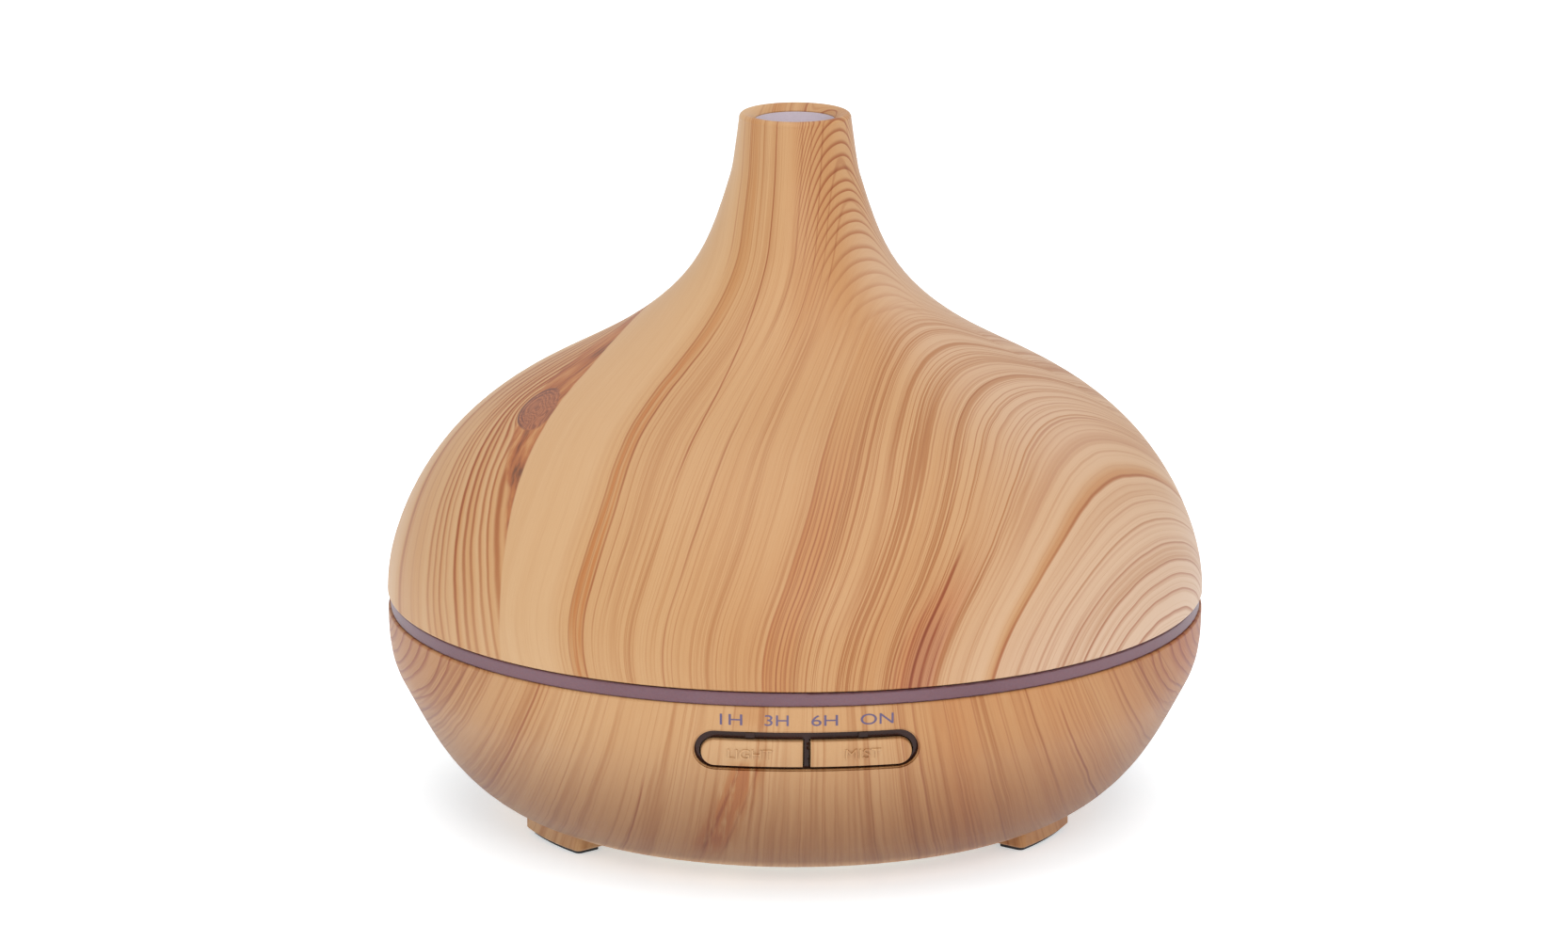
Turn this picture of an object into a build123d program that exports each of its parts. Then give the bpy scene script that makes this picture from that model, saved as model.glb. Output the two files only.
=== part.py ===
"""Ultrasonic essential oil diffuser, vase-shaped, with a lift-off cover, in millimetres.

Frame: +Z up, origin on the table under the centre of the body, buttons facing -Y, power inlet facing +Y.
The body is round: a bulbous cover with a narrow mist neck sits on a bowl-shaped base, with a translucent
light ring between them. Inside the base are the water tank, the ultrasonic disc, a fan and the electronics.
"""

from build123d import *
from collections import namedtuple
import math
import os

os.makedirs("parts", exist_ok=True)

# ---- driving dimensions ------------------------------------------------------------------------
BODY_R = 84.0  # largest radius, just above the light ring
TOTAL_H = 146.0  # rubber pads to the lip of the mouth
COVER_WALL = 2.0
BASE_WALL = 2.2

COVER_BOTTOM_Z = 46.8
MOUTH_R = 8.2  # bore of the mouth and of the chimney below it
LIP_R = 11.45  # outer radius just under the lip
LIP_CROWN_R = 10.6
LIP_DROP = 1.3  # how far the lip dishes down to the bore
CHIMNEY_TOP_Z = 144.5
CHIMNEY_WALL = 1.2

BASE_TOP_Z = 43.7
BASE_BOTTOM_Z = 2.5
RING_TOP_Z = 46.5
RING_R = 83.4

TANK_R = 64.0  # bore of the tank's collar
TANK_WALL = 1.8
TANK_FLOOR_Z = 20.5
TANK_LOW_Z = TANK_FLOOR_Z - TANK_WALL  # underside of the floor
TANK_FLOOR_R = 50.0
TANK_RIM_Z = 50.0
FLANGE_R = 79.9
FLANGE_Z = (45.1, 46.5)

WELL_Y = -15.0  # centre of the ultrasonic disc
WELL_FLOOR_Z = 16.5
WELL_R = (19.0, 26.0)  # at its floor and at the tank's floor
DISC_R = 10.0
DISC_HOLE_R = 8.6
SEAL_R = 12.0
SEAL_H = 2.6
CLAMP_T = 1.2
CLAMP_PITCH_R = 17.0

FEET = (90.0, 210.0, 330.0)  # azimuth of each foot, in degrees from +X
FOOT_R = (51.0, 59.3)
FOOT_SPAN = 21.0
FOOT_BOTTOM_Z = 0.9
PAD_TOP_Z = FOOT_BOTTOM_Z + 0.5  # the pads sit this deep in the feet

PLATE_R = 49.0  # the screwed bottom cover
LEDGE_R = 47.2  # the shell's ledge above its rim
PLATE_T = 2.0
PLATE_SCREWS = (30.0, 150.0, 270.0)
PLATE_SCREW_R = 42.0

FAN_Y = 28.0
FAN_SIDE = 35.0
FAN_Z = (6.9, 16.9)
FAN_BORE_R = 16.75
FAN_HOLES = 14.5  # half the fan's hole spacing

SLOT_W, SLOT_H = 44.0, 8.1  # the pill-shaped opening for the buttons
SLOT_Z = 34.5
BEZEL_WALL = 0.9
BEZEL_BACK = 3.4  # how deep below the skin the bezel's flange ends
BUTTON_Z = SLOT_Z - 0.4  # the buttons sit slightly low in their opening
BUTTON_GAP = 0.3
BUTTON_PROUD = 0.7
BUTTON_X = 11.1
PANEL_Y = -70.0  # back face of the control board
BOARD_T = 1.2
SWITCH_H = 3.5
PLUNGER_TIP_Y = PANEL_Y - BOARD_T - SWITCH_H - 1.0
MARK_X = (-14.8, -5.9, 3.5, 13.8)  # the timer marks above the buttons
MARK_Z = 41.1

LED_RING_R = (68.0, 76.0)
LED_RING_Z = 30.0
LED_GAP = 54.0  # degrees left open at the front for the control board

MAIN_BOARD_Z = 6.6
MAIN_BOARD_T = 1.6

JACK_Z = 15.5
JACK_FACE_Y = 67.0
JACK_NOSE_R = 4.0
JACK_BORE_R = 2.85
JACK_PIN_R = 1.05
JACK_DEPTH = 9.5

PLAY = 0.05  # a screw's play in its plain pilot hole

ScrewSize = namedtuple("ScrewSize", "head_r head_h shank_r clear_r")  # clear_r: hole that it passes through
SMALL_SCREW = ScrewSize(1.9, 1.2, 0.9, 1.1)
COVER_SCREW = ScrewSize(2.2, 1.4, 1.1, 1.4)
FAN_SCREW = ScrewSize(2.4, 1.4, 1.2, 1.6)
PLATE_SCREW = ScrewSize(3.0, 1.8, 1.4, 1.7)


# ---- helpers -----------------------------------------------------------------------------------
def at(r, z):
    """A point of a half-section in the XZ plane."""
    return (r, 0, z)


def outline(*points):
    return Polyline(*[at(r, z) for r, z in points])


def spun(*edges):
    """The solid swept by a closed half-section turned about Z."""
    return revolve(make_face(list(edges)), Axis.Z)


def ring(r_in, r_out, z0, z1):
    return Pos(0, 0, z0) * extrude(Circle(r_out) - Circle(r_in), z1 - z0)


def post(x, y, r, z0, z1):
    return Pos(x, y, z0) * extrude(Circle(r), z1 - z0)


def block(x0, x1, y0, y1, z0, z1):
    return Pos((x0 + x1) / 2, (y0 + y1) / 2, (z0 + z1) / 2) * Box(x1 - x0, y1 - y0, z1 - z0)


def rod_y(x, z, r, y0, y1):
    """A cylinder along Y, from y0 to y1."""
    return Pos(x, (y0 + y1) / 2, z) * Rot(90, 0, 0) * Cylinder(r, abs(y1 - y0))


def polar(r, degrees):
    return r * math.cos(math.radians(degrees)), r * math.sin(math.radians(degrees))


def offset_points(curve, distance, count):
    """Points beside a half-section curve that runs upwards, distance outside it (negative is inside)."""
    points = []
    for i in range(count + 1):
        p, t = curve @ (i / count), curve % (i / count)
        points.append(at(p.X + distance * t.Z, p.Z - distance * t.X))
    return points


def beside(curve, distance, count=10):
    """A curve that keeps its distance from a half-section curve, with the same end directions."""
    return Spline(*offset_points(curve, distance, count), tangents=[curve % 0, curve % 1])


def band(curve, outer, inner):
    """The wall between two offsets of a half-section curve, turned about Z."""
    a, b = beside(curve, outer), beside(curve, inner)
    return spun(a, Line(a @ 1, b @ 1), b, Line(b @ 0, a @ 0))


def arc_block(r_in, r_out, centre, span, z0, z1, corner):
    """A block bounded by two arcs about Z, with rounded corners."""
    a, b = centre - span / 2, centre + span / 2
    face = make_face([
        CenterArc((0, 0), r_out, a, span),
        Line(polar(r_out, b), polar(r_in, b)),
        CenterArc((0, 0), r_in, b, -span),
        Line(polar(r_in, a), polar(r_out, a)),
    ])
    return Pos(0, 0, z0) * extrude(fillet(face.vertices(), corner), z1 - z0)


def pill(width, height, z, y0, y1):
    """A stadium-shaped prism along Y, centred at height z."""
    face = SlotOverall(width, height)
    return Pos(0, y0, z) * Rot(90, 0, 0) * extrude(face, -(y1 - y0))


def pilot(size):
    """Radius of the hole that a screw is driven into."""
    return size.shank_r + PLAY


def screw(size, length):
    """A pan-head cross-recess screw standing on its head: head from z = 0 up, length of shank above it."""
    head_r, head_h, shank_r, _ = size
    head = extrude(Circle(head_r), head_h)
    head = fillet(head.edges().sort_by(Axis.Z)[0], head_h * 0.45)
    shank = Pos(0, 0, head_h) * extrude(Circle(shank_r), length - shank_r)
    tip = Pos(0, 0, head_h + length - shank_r / 2) * Cone(shank_r, shank_r * 0.35, shank_r)
    cross = Box(head_r, head_r * 0.22, head_h * 1.1) + Box(head_r * 0.22, head_r, head_h * 1.1)
    return head + shank + tip - cross


def write(name, shape):
    solids = shape.solids()
    export_step(solids[0] if len(solids) == 1 else Compound(solids), f"parts/{name}.step")


# ---- the two skins -----------------------------------------------------------------------------
COVER_SKIN = Spline(
    at(BODY_R, COVER_BOTTOM_Z), at(81.6, 60), at(72.65, 76), at(59.2, 88), at(37.5, 100),
    at(22.8, 112), at(17.85, 120), at(13.6, 132), at(LIP_R, TOTAL_H - 1.2),
    tangents=[(0, 0, 1), (-0.13, 0, 1)],
)
BASE_SKIN = Spline(
    at(54.0, BASE_BOTTOM_Z), at(63.4, 6), at(73.6, 16), at(80.5, 28), at(BODY_R - 0.1, BASE_TOP_Z),
    tangents=[(1, 0, 0.12), (0, 0, 1)],
)


def solid_under(curve):
    """Everything inside a skin, to trim what is fused to it."""
    low, high = curve @ 0, curve @ 1
    return spun(curve, outline((high.X, high.Z), (0, high.Z), (0, low.Z), (low.X, low.Z)))


# ---- cover -------------------------------------------------------------------------------------
HOOD_FLANGE = (50.0, 51.5)
HOOD_FLANGE_R = 73.5
HOOD_R = 63.4
HOOD_SKIRT_Z = 46.6
TUBE_START_Z = 124.0  # where the hood's dome has narrowed to the chimney
TUBE_R = MOUTH_R + CHIMNEY_WALL
COVER_SCREW_R = 69.5  # how far the cover's screws are from the axis
COVER_BOSS = (3.2, 82.0)  # radius, and a height above the skin that it is trimmed by
COVER_HOLE_TOP_Z = 62.0


def make_top_cover():
    """The outer bulb: a thin shell up to the lip, with three screw bosses inside."""
    inner = Spline(*offset_points(COVER_SKIN, -COVER_WALL, 12)[:-1],
                   at(TUBE_R + 0.2, CHIMNEY_TOP_Z),
                   tangents=[(0, 0, 1), (-0.1, 0, 1)])
    top = COVER_SKIN @ 1
    crown = at(LIP_CROWN_R, TOTAL_H)
    lip = at(MOUTH_R, TOTAL_H - LIP_DROP)
    shell = spun(
        COVER_SKIN,
        ThreePointArc(top, at(LIP_R - 0.22, TOTAL_H - 0.4), crown),
        ThreePointArc(crown, at(9.3, TOTAL_H - 0.35), lip),
        outline((MOUTH_R, TOTAL_H - LIP_DROP), (MOUTH_R, CHIMNEY_TOP_Z)),
        Line(at(MOUTH_R, CHIMNEY_TOP_Z), inner @ 1),
        inner,
        Line(inner @ 0, COVER_SKIN @ 0),
    )
    for azimuth in FEET:
        x, y = polar(COVER_SCREW_R, azimuth)
        boss = post(x, y, COVER_BOSS[0], HOOD_FLANGE[1], COVER_BOSS[1]) & solid_under(COVER_SKIN)
        shell = shell + boss - post(x, y, pilot(COVER_SCREW), HOOD_FLANGE[1], COVER_HOLE_TOP_Z)
    rim = shell.edges().filter_by(GeomType.CIRCLE).group_by(Axis.Z)[0].sort_by(SortBy.RADIUS)[-1]
    return fillet(rim, 0.45)


def make_mist_hood():
    """The inner bell: a skirt that dips into the tank, a dome, and the chimney up to the mouth."""
    skirt_in_r = HOOD_R - CHIMNEY_WALL
    dome = Spline(at(HOOD_R, HOOD_FLANGE[1]), at(60.6, 63), at(52, 76), at(38, 87), at(24, 97),
                  at(14, 109), at(TUBE_R, TUBE_START_Z), tangents=[(0, 0, 1), (0, 0, 1)])
    inside = beside(dome, -CHIMNEY_WALL)
    bell = spun(
        dome,
        outline((TUBE_R, TUBE_START_Z), (TUBE_R, CHIMNEY_TOP_Z), (MOUTH_R, CHIMNEY_TOP_Z),
                (MOUTH_R, TUBE_START_Z)),
        inside,
        outline((skirt_in_r, HOOD_FLANGE[1]), (skirt_in_r, HOOD_SKIRT_Z), (HOOD_R, HOOD_SKIRT_Z),
                (HOOD_R, HOOD_FLANGE[0]), (HOOD_FLANGE_R, HOOD_FLANGE[0]),
                (HOOD_FLANGE_R, HOOD_FLANGE[1]), (HOOD_R, HOOD_FLANGE[1])),
    )
    for azimuth in FEET:
        x, y = polar(COVER_SCREW_R, azimuth)
        bell = bell - post(x, y, COVER_SCREW.clear_r, HOOD_FLANGE[0] - 1, HOOD_FLANGE[1] + 1)
    return bell


def make_cover_screws():
    one = screw(COVER_SCREW, 8.0)
    return [Pos(*polar(COVER_SCREW_R, a), HOOD_FLANGE[0] - COVER_SCREW.head_h) * one for a in FEET]


# ---- rim and tank ------------------------------------------------------------------------------
SEAT_R, SEAT_Z = 80.2, 44.6  # the step that carries the gasket and the tank's flange
RING_IN_R = 74.5
SPIGOT_R, SPIGOT_Z = 81.4, 42.3  # the part of the ring that fits inside the base


def make_light_ring():
    """The translucent band between cover and base, stepped inside to carry the tank's flange."""
    band_ring = spun(outline(
        (RING_R, BASE_TOP_Z), (RING_R, RING_TOP_Z), (SEAT_R, RING_TOP_Z), (SEAT_R, SEAT_Z),
        (RING_IN_R, SEAT_Z), (RING_IN_R, SPIGOT_Z), (SPIGOT_R, SPIGOT_Z), (SPIGOT_R, BASE_TOP_Z),
        (RING_R, BASE_TOP_Z)))
    outer = band_ring.edges().filter_by(GeomType.CIRCLE).sort_by(SortBy.RADIUS)[-2:]
    return fillet(outer, 0.35)


def make_tank_gasket():
    return ring(RING_IN_R + 1.0, SEAT_R - 0.7, SEAT_Z, FLANGE_Z[0])


DUCT_X, DUCT_Y, DUCT_TOP_Z = 9.0, (30.0, 38.0), 54.0  # half width and reach of its bore, and its height
DUCT_WALL = 1.5
DUCT_CORNER = 2.5
DUCT_COLLAR = 1.6  # how far, and how thick, the collar that rests on the tank's floor stands out
TANK_BOSS_Z = 5.7
TANK_WALL_Z = 41.0  # where the bowl's side turns straight up
CLAMP_HOLE_DEPTH = 3.2
PLATE_HOLE_TOP_Z = 15.0


def tank_bowl():
    """The round bowl with its flange and collar."""
    out_r = TANK_R + TANK_WALL
    inside = Spline(at(TANK_FLOOR_R, TANK_FLOOR_Z), at(60.5, 28.5), at(TANK_R, TANK_WALL_Z),
                    tangents=[(1, 0, 0), (0, 0, 1)])
    outside = Spline(at(TANK_FLOOR_R, TANK_LOW_Z), at(62.1, 27.5), at(out_r, TANK_WALL_Z),
                     tangents=[(1, 0, 0), (0, 0, 1)])
    return spun(
        outline((0, TANK_FLOOR_Z), (0, TANK_LOW_Z), (TANK_FLOOR_R, TANK_LOW_Z)),
        outside,
        outline((out_r, TANK_WALL_Z), (out_r, FLANGE_Z[0]), (FLANGE_R, FLANGE_Z[0]),
                (FLANGE_R, FLANGE_Z[1]), (out_r, FLANGE_Z[1]), (out_r, TANK_RIM_Z),
                (TANK_R, TANK_RIM_Z), (TANK_R, TANK_WALL_Z)),
        inside,
        Line(at(TANK_FLOOR_R, TANK_FLOOR_Z), at(0, TANK_FLOOR_Z)),
    )


def frustum(y, r0, r1, z0, z1):
    return Pos(0, y, (z0 + z1) / 2) * Cone(r0, r1, z1 - z0)


def clamp_points():
    for a in (90, 210, 330):
        x, y = polar(CLAMP_PITCH_R, a)
        yield x, y + WELL_Y


SEAL_TOP_Z = WELL_FLOOR_Z - TANK_WALL
SEAL_BOTTOM_Z = SEAL_TOP_Z - SEAL_H


def duct_block(margin, z0, z1):
    """A block round the air duct's bore, margin larger on each side, with rounded corners."""
    shape = block(-DUCT_X - margin, DUCT_X + margin, DUCT_Y[0] - margin, DUCT_Y[1] + margin, z0, z1)
    return fillet(shape.edges().filter_by(Axis.Z), DUCT_CORNER + margin - DUCT_WALL)


def make_water_tank():
    """The bowl, the well that holds the disc, the bosses underneath and the slot for the air duct."""
    tank = tank_bowl()
    tank += frustum(WELL_Y, WELL_R[0] + TANK_WALL, WELL_R[1] + TANK_WALL, SEAL_TOP_Z, TANK_FLOOR_Z)
    tank += Pos(0, WELL_Y, 0) * ring(SEAL_R + 0.1, SEAL_R + 1.5, SEAL_BOTTOM_Z, SEAL_TOP_Z + 0.5)
    for x, y in clamp_points():
        tank += post(x, y, 2.5, SEAL_BOTTOM_Z, SEAL_TOP_Z + 0.5)
    for a in PLATE_SCREWS:
        tank += post(*polar(PLATE_SCREW_R, a), 3.5, TANK_BOSS_Z, TANK_LOW_Z + 1)
    tank -= duct_block(DUCT_WALL, TANK_LOW_Z - 1, TANK_FLOOR_Z + 1)
    tank -= frustum(WELL_Y, *WELL_R, WELL_FLOOR_Z, TANK_FLOOR_Z)
    tank -= post(0, WELL_Y, DISC_HOLE_R, SEAL_TOP_Z - 1, WELL_FLOOR_Z + 1)
    for x, y in clamp_points():
        tank -= post(x, y, pilot(SMALL_SCREW), SEAL_BOTTOM_Z, SEAL_BOTTOM_Z + CLAMP_HOLE_DEPTH)
    for a in PLATE_SCREWS:
        tank -= post(*polar(PLATE_SCREW_R, a), pilot(PLATE_SCREW), TANK_BOSS_Z, PLATE_HOLE_TOP_Z)
    return tank


def make_air_duct():
    """The flat tube that carries the fan's air up past the water, set in the tank's floor by its collar."""
    duct = duct_block(DUCT_WALL, TANK_LOW_Z, DUCT_TOP_Z)
    duct += duct_block(DUCT_WALL + DUCT_COLLAR, TANK_FLOOR_Z, TANK_FLOOR_Z + DUCT_COLLAR)
    return duct - duct_block(0, TANK_LOW_Z - 1, DUCT_TOP_Z + 1)


CAP_WALL = 1.2
CAP_HEIGHT = 6.0  # above the duct
CAP_OVERLAP = 5.0
CAP_STOP = 1.2


def make_air_outlet_cap():
    """A hood over the air duct, open towards the middle of the tank."""
    x, y0, y1 = DUCT_X + DUCT_WALL, DUCT_Y[0] - DUCT_WALL, DUCT_Y[1] + DUCT_WALL
    roof_z = DUCT_TOP_Z + CAP_HEIGHT - CAP_WALL
    outer = block(-x - CAP_WALL, x + CAP_WALL, y0 - CAP_WALL, y1 + CAP_WALL,
                  DUCT_TOP_Z - CAP_OVERLAP, DUCT_TOP_Z + CAP_HEIGHT)
    outer = fillet(outer.edges().filter_by(Axis.Z), 3.4)
    outer = fillet(outer.edges().group_by(Axis.Z)[-1], 1.1)
    inner = duct_block(DUCT_WALL, DUCT_TOP_Z - CAP_OVERLAP - 1, roof_z)
    mouth = block(-x + 2, x - 2, y0 - 3, y0 + 1, DUCT_TOP_Z, roof_z)
    stop = block(-x, -x + CAP_STOP, y0 + 3, y1 - 3, DUCT_TOP_Z, roof_z + 0.2)
    return outer - inner - mouth + stop + mirror(stop, Plane.YZ)


# ---- ultrasonic disc ---------------------------------------------------------------------------
DISC_Z = (SEAL_BOTTOM_Z + 0.7, SEAL_BOTTOM_Z + 1.9)


def make_transducer_disc():
    return post(0, WELL_Y, DISC_R, *DISC_Z)


def make_disc_seal():
    body = Pos(0, WELL_Y, 0) * ring(DISC_HOLE_R, SEAL_R, SEAL_BOTTOM_Z, SEAL_TOP_Z)
    return body - post(0, WELL_Y, DISC_R, *DISC_Z)


def make_disc_clamp():
    z0 = SEAL_BOTTOM_Z - CLAMP_T
    plate = Pos(0, WELL_Y, 0) * ring(7.6, 14.0, z0, SEAL_BOTTOM_Z)
    for x, y in clamp_points():
        plate += post(x, y, 3.2, z0, SEAL_BOTTOM_Z)
    for x, y in clamp_points():
        plate -= post(x, y, SMALL_SCREW.clear_r, z0 - 1, SEAL_BOTTOM_Z + 1)
    return plate


def make_clamp_screws():
    one = screw(SMALL_SCREW, 4.0)
    z = SEAL_BOTTOM_Z - CLAMP_T - SMALL_SCREW.head_h
    return [Pos(x, y, z) * one for x, y in clamp_points()]


# ---- base --------------------------------------------------------------------------------------
LED_POSTS = (12.0, 80.0, 100.0, 168.0)
LED_POST_R = 72.0
PANEL_POST_X = 25.0
PANEL_POST_Z = 28.0
PANEL_HOLE_END_Y = -74.1  # leaves a wall under the skin
FOOT_RIM = 1.2  # width of the rim round each foot's pad
JACK_RECESS_R = 5.5
JACK_COLLAR_R = 8.0


def make_base_shell():
    """The bowl: skin, bottom ledge, three feet, button opening, inlet recess and inner posts."""
    inner = Spline(*offset_points(BASE_SKIN, -BASE_WALL, 10), tangents=[BASE_SKIN % 0, BASE_SKIN % 1])
    start = inner @ 0
    ledge_z = BASE_BOTTOM_Z + PLATE_T
    shell = spun(
        BASE_SKIN,
        Line(BASE_SKIN @ 1, inner @ 1),
        inner,
        outline((start.X, start.Z), (51.5, start.Z), (51.5, ledge_z + 2), (LEDGE_R, ledge_z + 2),
                (LEDGE_R, ledge_z), (PLATE_R + 0.3, ledge_z), (PLATE_R + 0.3, BASE_BOTTOM_Z),
                (54.0, BASE_BOTTOM_Z)),
    )
    rim = shell.edges().filter_by(GeomType.CIRCLE).group_by(Axis.Z)[-1].sort_by(SortBy.RADIUS)[-1]
    shell = fillet(rim, 0.45)
    hull = solid_under(BASE_SKIN)

    for a in FEET:
        foot = arc_block(*FOOT_R, a, FOOT_SPAN, FOOT_BOTTOM_Z, BASE_BOTTOM_Z + 2.0, 1.4)
        foot = chamfer(foot.edges().group_by(Axis.Z)[0], 0.35)
        shell = shell + foot
        shell = shell - arc_block(FOOT_R[0] + FOOT_RIM, FOOT_R[1] - FOOT_RIM, a, FOOT_SPAN - 2.6, 0,
                                  PAD_TOP_Z, 1.0)
    for a in LED_POSTS:
        x, y = polar(LED_POST_R, a)
        shell = shell + (post(x, y, 2.5, 10, LED_RING_Z) & hull)
        shell = shell - post(x, y, pilot(SMALL_SCREW), LED_RING_Z - 6, LED_RING_Z + 1)
    for x in (-PANEL_POST_X, PANEL_POST_X):
        boss = rod_y(x, PANEL_POST_Z, 2.3, PANEL_Y - BOARD_T, -84) & hull
        shell = shell + boss - rod_y(x, PANEL_POST_Z, pilot(SMALL_SCREW), PANEL_Y, PANEL_HOLE_END_Y)

    collar = rod_y(0, JACK_Z, JACK_COLLAR_R, JACK_FACE_Y - 5, JACK_FACE_Y + 13) & hull
    shell = shell + collar
    shell = shell - rod_y(0, JACK_Z, JACK_RECESS_R, JACK_FACE_Y, JACK_FACE_Y + 23)
    shell = shell - rod_y(0, JACK_Z, JACK_NOSE_R + PLAY, JACK_FACE_Y - 6, JACK_FACE_Y + 1)

    opening = pill(SLOT_W, SLOT_H, SLOT_Z, *SKIN_DEPTH)
    bevel = pill(SLOT_W + 0.7, SLOT_H + 0.7, SLOT_Z, *SKIN_DEPTH) & band(BASE_SKIN, 2, -0.35)
    return shell - opening - bevel


def make_foot_pads():
    r_in, r_out = FOOT_R[0] + FOOT_RIM + 0.1, FOOT_R[1] - FOOT_RIM - 0.1
    return [arc_block(r_in, r_out, a, FOOT_SPAN - 2.8, 0, PAD_TOP_Z, 0.9) for a in FEET]


def fan_grille():
    """The air inlet under the fan: slots between bars, inside a circle."""
    slot, pitch, r = 2.2, 4.0, 15.5
    shape = None
    for i in range(-3, 4):
        half = math.sqrt(r * r - (i * pitch) ** 2) if i else r
        bar = Pos(0, i * pitch) * SlotOverall(2 * half, slot)
        shape = bar if shape is None else shape + bar
    shape = shape - Rectangle(2.0, 4 * r)
    return Pos(0, FAN_Y, BASE_BOTTOM_Z - 1) * extrude(shape, PLATE_T + 2)


BOARD_POSTS = ((-33.0, -8.0), (33.0, -8.0), (-26.0, -32.0), (26.0, -32.0))
FAN_POSTS = ((-FAN_HOLES, FAN_Y - FAN_HOLES), (FAN_HOLES, FAN_Y - FAN_HOLES),
             (-FAN_HOLES, FAN_Y + FAN_HOLES), (FAN_HOLES, FAN_Y + FAN_HOLES))


def make_bottom_cover():
    """The screwed plate with the fan inlet, board posts and fan posts."""
    top = BASE_BOTTOM_Z + PLATE_T
    plate = post(0, 0, PLATE_R, BASE_BOTTOM_Z, top)
    plate = chamfer(plate.edges().group_by(Axis.Z)[0], 0.3)
    for a in PLATE_SCREWS:
        plate += post(*polar(PLATE_SCREW_R, a), 4.2, top, TANK_BOSS_Z)
    for x, y in BOARD_POSTS:
        plate += post(x, y, 2.25, top, MAIN_BOARD_Z)
    for x, y in FAN_POSTS:
        plate += post(x, y, 2.0, top, FAN_Z[0])
    for a in PLATE_SCREWS:
        plate -= post(*polar(PLATE_SCREW_R, a), PLATE_SCREW.head_r + 0.4, BASE_BOTTOM_Z - 1, top)
        plate -= post(*polar(PLATE_SCREW_R, a), PLATE_SCREW.clear_r, top - 1, TANK_BOSS_Z + 1)
    hole_z = BASE_BOTTOM_Z + 0.8
    for x, y in BOARD_POSTS:
        plate -= post(x, y, pilot(SMALL_SCREW), hole_z, MAIN_BOARD_Z + 1)
    for x, y in FAN_POSTS:
        plate -= post(x, y, pilot(FAN_SCREW), hole_z, FAN_Z[0] + 1)
    return plate - fan_grille()


def make_bottom_screws():
    one = screw(PLATE_SCREW, 10.0)
    z = BASE_BOTTOM_Z + PLATE_T - PLATE_SCREW.head_h
    return [Pos(*polar(PLATE_SCREW_R, a), z) * one for a in PLATE_SCREWS]


# ---- buttons -----------------------------------------------------------------------------------
BEZEL_W, BEZEL_H = SLOT_W - 0.2, SLOT_H - 0.2
HOLE_W, HOLE_H = BEZEL_W - 2 * BEZEL_WALL, BEZEL_H - 2 * BEZEL_WALL
BUTTON_W, BUTTON_H = HOLE_W - 2 * BUTTON_GAP, HOLE_H - 2 * BUTTON_GAP
DIVIDER = 0.9
NIB_W = 1.8
FLANGE_BEZEL, FLANGE_BUTTON = (2.6, 2.2), (2.4, 1.6)  # how much wider and higher each flange is
ROD_R = 1.5
SKIN_DEPTH = (-90, -74)  # a stretch along Y that holds the skin round the opening


def make_button_bezel():
    """The smoked surround set below the skin, with a bar between the buttons and a nib over each."""
    hole = pill(HOLE_W, HOLE_H, BUTTON_Z, *SKIN_DEPTH)
    around = pill(BEZEL_W, BEZEL_H, SLOT_Z, *SKIN_DEPTH) - hole
    top = BUTTON_Z + HOLE_H / 2
    bar = block(-DIVIDER / 2, DIVIDER / 2, *SKIN_DEPTH, BUTTON_Z - HOLE_H / 2 - 0.3, top + 0.3)
    nib = block(BUTTON_X - NIB_W / 2, BUTTON_X + NIB_W / 2, *SKIN_DEPTH, top + 0.1, SLOT_Z + BEZEL_H / 2 - 0.1)
    flange = pill(SLOT_W + FLANGE_BEZEL[0], SLOT_H + FLANGE_BEZEL[1], SLOT_Z, *SKIN_DEPTH) - hole
    frame = (around + bar) & band(BASE_SKIN, -0.9, -BEZEL_BACK)
    frame += flange & band(BASE_SKIN, -BASE_WALL - 0.05, -BEZEL_BACK)
    for piece in (nib, mirror(nib, Plane.YZ)):
        frame += piece & band(BASE_SKIN, -0.45, -1.2)
    return frame


def make_button(side):
    """One half of the pill: a crowned cap, a flange behind the bezel and a rod to the switch."""
    depth = (SKIN_DEPTH[0], SKIN_DEPTH[1] + 2)
    flange_top, flange_back = -BEZEL_BACK - 0.3, -BEZEL_BACK - 1.3
    half = block(DIVIDER / 2 + BUTTON_GAP, SLOT_W, *depth, 20, 50)
    cap = (pill(BUTTON_W, BUTTON_H, BUTTON_Z, *depth) & half) & band(BASE_SKIN, BUTTON_PROUD, flange_back)
    face = cap.faces().sort_by(Axis.Y)[0]
    cap = fillet(face.edges(), 0.4)
    flange = pill(BUTTON_W + FLANGE_BUTTON[0], BUTTON_H + FLANGE_BUTTON[1], BUTTON_Z, *depth)
    flange = flange & block(0.35, SLOT_W, *depth, 20, 50) & band(BASE_SKIN, flange_top, flange_back)
    rod = rod_y(BUTTON_X, BUTTON_Z, ROD_R, PLUNGER_TIP_Y, -79)
    whole = cap + flange + rod
    return whole if side > 0 else mirror(whole, Plane.YZ)


def make_control_board():
    board = block(-27, 27, PANEL_Y - BOARD_T, PANEL_Y, 26, 42)
    for x in (-PANEL_POST_X, PANEL_POST_X):
        board -= rod_y(x, PANEL_POST_Z, SMALL_SCREW.clear_r, PANEL_Y - 3, PANEL_Y + 3)
    return board


def make_panel_screws():
    one = Rot(90, 0, 0) * screw(SMALL_SCREW, 3.9)
    y = PANEL_Y + SMALL_SCREW.head_h
    return [Pos(x, y, PANEL_POST_Z) * one for x in (-PANEL_POST_X, PANEL_POST_X)]


SWITCH_HALF = 3.0
PLUNGER_R = 1.7


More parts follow.
